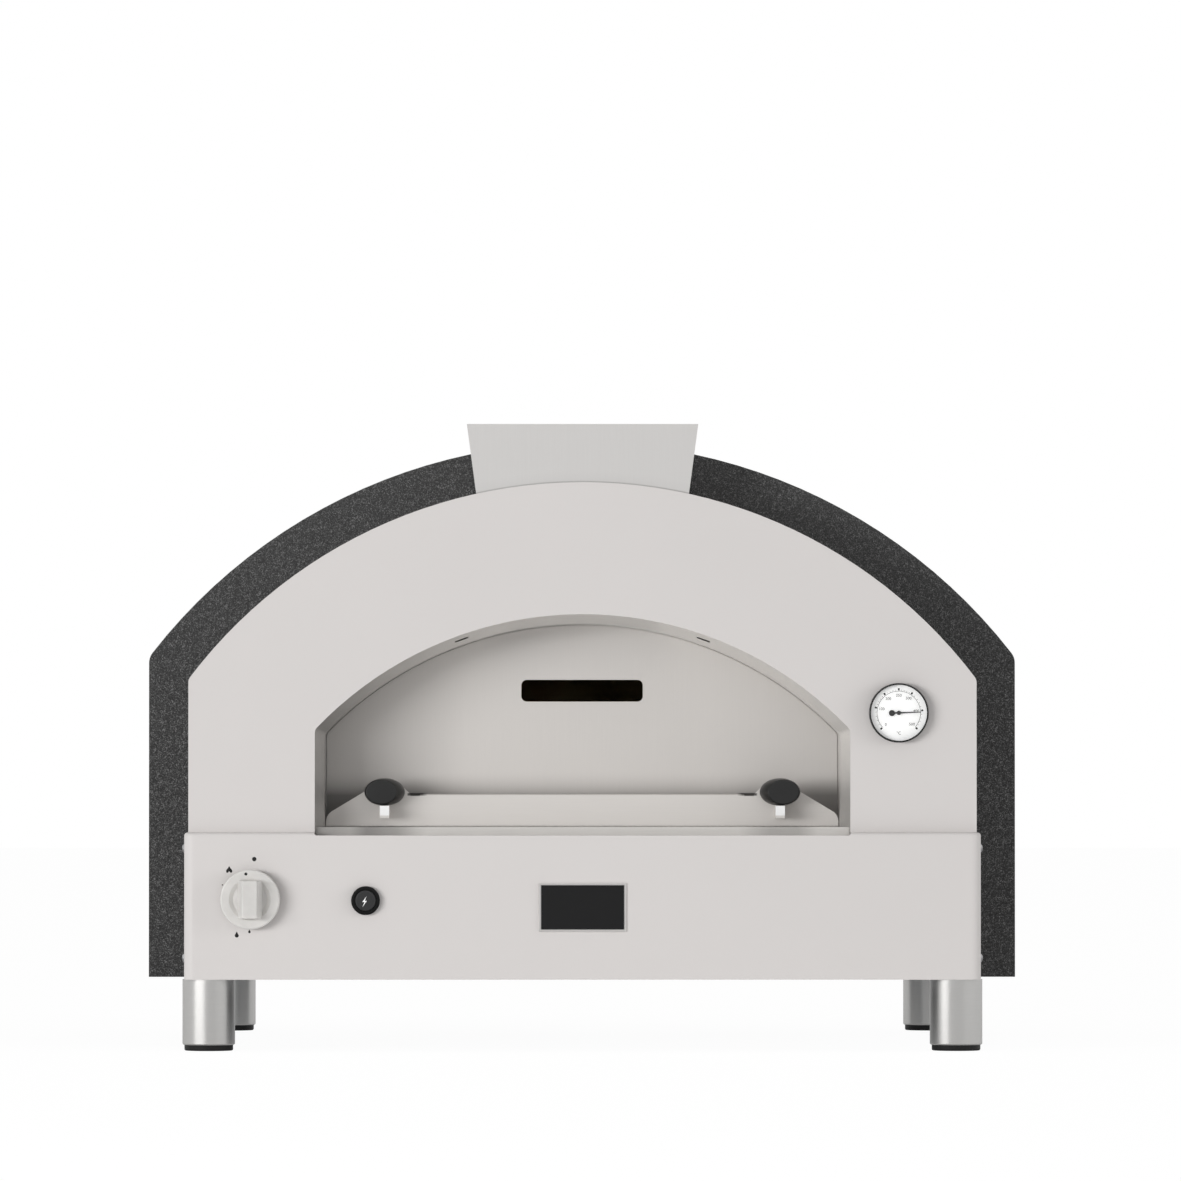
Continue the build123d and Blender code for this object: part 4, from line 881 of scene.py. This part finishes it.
# Name plate: left blank, as no maker is named. A dark enamelled field lies in a pale metal
# frame with a rounded edge, glued to the middle of the casing.
plate_x = 0.0
plate_z = 0.1037
frame_half = (0.0317, 0.01765)
field_half = (0.0300, 0.01600)
frame_shoulder = panel_y - 0.0008
frame_face = panel_y - 0.0012
field_back = panel_y - 0.0007
field_face = panel_y - 0.0009


def rounded_outline(half, growth, radius, steps=5):
    """A rectangle with round corners about the plate's middle, grown past its half sizes."""
    half_width, half_height = half[0] + growth, half[1] + growth
    points = []
    for corner_x, corner_z, start in ((1, 1, 0), (-1, 1, 90), (-1, -1, 180), (1, -1, 270)):
        for step in range(steps + 1):
            angle = math.radians(start + 90 * step / steps)
            points.append((
                plate_x + corner_x * (half_width - radius) + radius * math.cos(angle),
                plate_z + corner_z * (half_height - radius) + radius * math.sin(angle),
            ))
    return points


def join_rings(form, rings):
    """Joins rings of points by bands of faces, with a closed face at the first and the last."""
    for lower, upper in zip(rings, rings[1:]):
        for index in range(len(lower)):
            after = (index + 1) % len(lower)
            form.faces.new((lower[index], lower[after], upper[after], upper[index]))
    form.faces.new(rings[0][::-1])
    form.faces.new(rings[-1])


plate_frame = bmesh.new()
frame_rings = []
for outline, y in (
    (rounded_outline(frame_half, 0.0, 0.0010), panel_y + ink_depth),
    (rounded_outline(frame_half, 0.0, 0.0010), frame_shoulder),
    (rounded_outline(frame_half, -0.0003, 0.0008), frame_face),
    (rounded_outline(field_half, 0.0002, 0.0005), frame_face),
    (rounded_outline(field_half, 0.0, 0.0004), frame_shoulder),
):
    frame_rings.append([plate_frame.verts.new((x, y, z)) for x, z in outline])
join_rings(plate_frame, frame_rings)
plate_metal = ground_steel("plate_metal", rgb(226, 224, 222), 0.34, (2400.0, 900.0, 60.0))
make_piece("name_plate_frame", plate_frame, plate_metal, "oven")
plate_field = bmesh.new()
add_prism(plate_field, rounded_outline(field_half, -0.0001, 0.0004), field_back, field_face)
plate_enamel = enamel("plate_enamel", rgb(18, 18, 19), 0.5, 0.28)
make_piece("name_plate_field", plate_field, plate_enamel, "oven")


# Screws: stainless button heads with a hexagon socket, which hold the rear panel to the
# shell's folded edge and the casing's returns to the pan.
def add_button_screw(form, centre, outward, radius=0.0033, height=0.0018):
    """Adds a domed screw head with a hexagon socket, standing on a surface."""
    steps = 24
    angles = [2 * math.pi * step / steps for step in range(steps)]
    dome = [(1.0, -0.1), (1.0, 0.25), (0.93, 0.55), (0.76, 0.82), (0.55, 0.97)]
    socket_half = 0.42 * radius
    socket_rises = (1.0, 0.25)
    levels = [[(radius * share, angle, height * rise) for angle in angles] for share, rise in dome]
    for rise in socket_rises:
        socket = []
        for angle in angles:
            off_flat = (angle + math.pi / 6) % (math.pi / 3) - math.pi / 6
            socket.append((socket_half / math.cos(off_flat), angle, height * rise))
        levels.append(socket)
    turn = Vector((0, 0, 1)).rotation_difference(Vector(outward)).to_matrix()
    rings = []
    for level in levels:
        ring = []
        for out, angle, up in level:
            offset = Vector((out * math.cos(angle), out * math.sin(angle), up))
            ring.append(form.verts.new(Vector(centre) + turn @ offset))
        rings.append(ring)
    join_rings(form, rings)


rear_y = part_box("rear_panel")[1].y
screw_inset = 0.0075
shell_crown_radius = 0.3974
shell_crown_middle = 0.0445
screw_arc_radius = shell_crown_radius - screw_inset
screw_side_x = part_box("outer_shell")[1].x - screw_inset
screw_foot_z = 0.0568
rear_places = []
for step in range(7):
    angle = math.radians(-48 + 16 * step)
    x = screw_arc_radius * math.sin(angle)
    rear_places.append((x, shell_crown_middle + screw_arc_radius * math.cos(angle)))
for side in (-1, 1):
    rear_places += [(side * screw_side_x, z) for z in (0.066, 0.165, 0.262)]
rear_places += [(x, screw_foot_z) for x in (-0.16, 0.0, 0.16)]
rear_screws = bmesh.new()
for x, z in rear_places:
    add_button_screw(rear_screws, (x, rear_y, z), (0, 1, 0))
screw_steel = turned_metal("screw_steel", rgb(172, 172, 174), 0.26, 60.0)
make_piece("rear_screws", rear_screws, screw_steel, "oven", smooth=True)

casing_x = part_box("control_panel")[1].x
casing_screw_y = -0.252
casing_screws = bmesh.new()
for side in (-1, 1):
    for z in (0.0668, 0.1461):
        centre = (side * casing_x, casing_screw_y, z)
        add_button_screw(casing_screws, centre, (side, 0, 0), radius=0.0031, height=0.0017)
make_piece("casing_screws", casing_screws, screw_steel, "oven", smooth=True)


# Inlet thread: a rolled 3/8 inch parallel thread on the brass nipple at the back, where the
# gas hose is screwed on.
inlet_x = -0.270
inlet_z = 0.074
nipple_radius = 0.00833
root = nipple_radius - 0.0001
crest = nipple_radius + 0.00022
ridge = ((root, -0.00052), (crest, -0.0001), (crest, 0.0001), (root, 0.00052))
pitch = 0.00134
turns = 11
steps = 36
thread_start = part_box("gas_inlet")[1].y - 0.0168
thread = bmesh.new()
rows = []
for index in range(turns * steps + 1):
    angle = 2 * math.pi * index / steps
    y = thread_start + pitch * index / steps
    row = []
    for out, shift in ridge:
        x = inlet_x + out * math.cos(angle)
        z = inlet_z + out * math.sin(angle)
        row.append(thread.verts.new((x, y + shift, z)))
    rows.append(row)
for first, second in zip(rows, rows[1:]):
    for index in range(4):
        after = (index + 1) % 4
        thread.faces.new((first[index], second[index], second[after], first[after]))
thread.faces.new(rows[0])
thread.faces.new(rows[-1][::-1])
make_piece("inlet_thread", thread, brass, "oven", smooth=True)
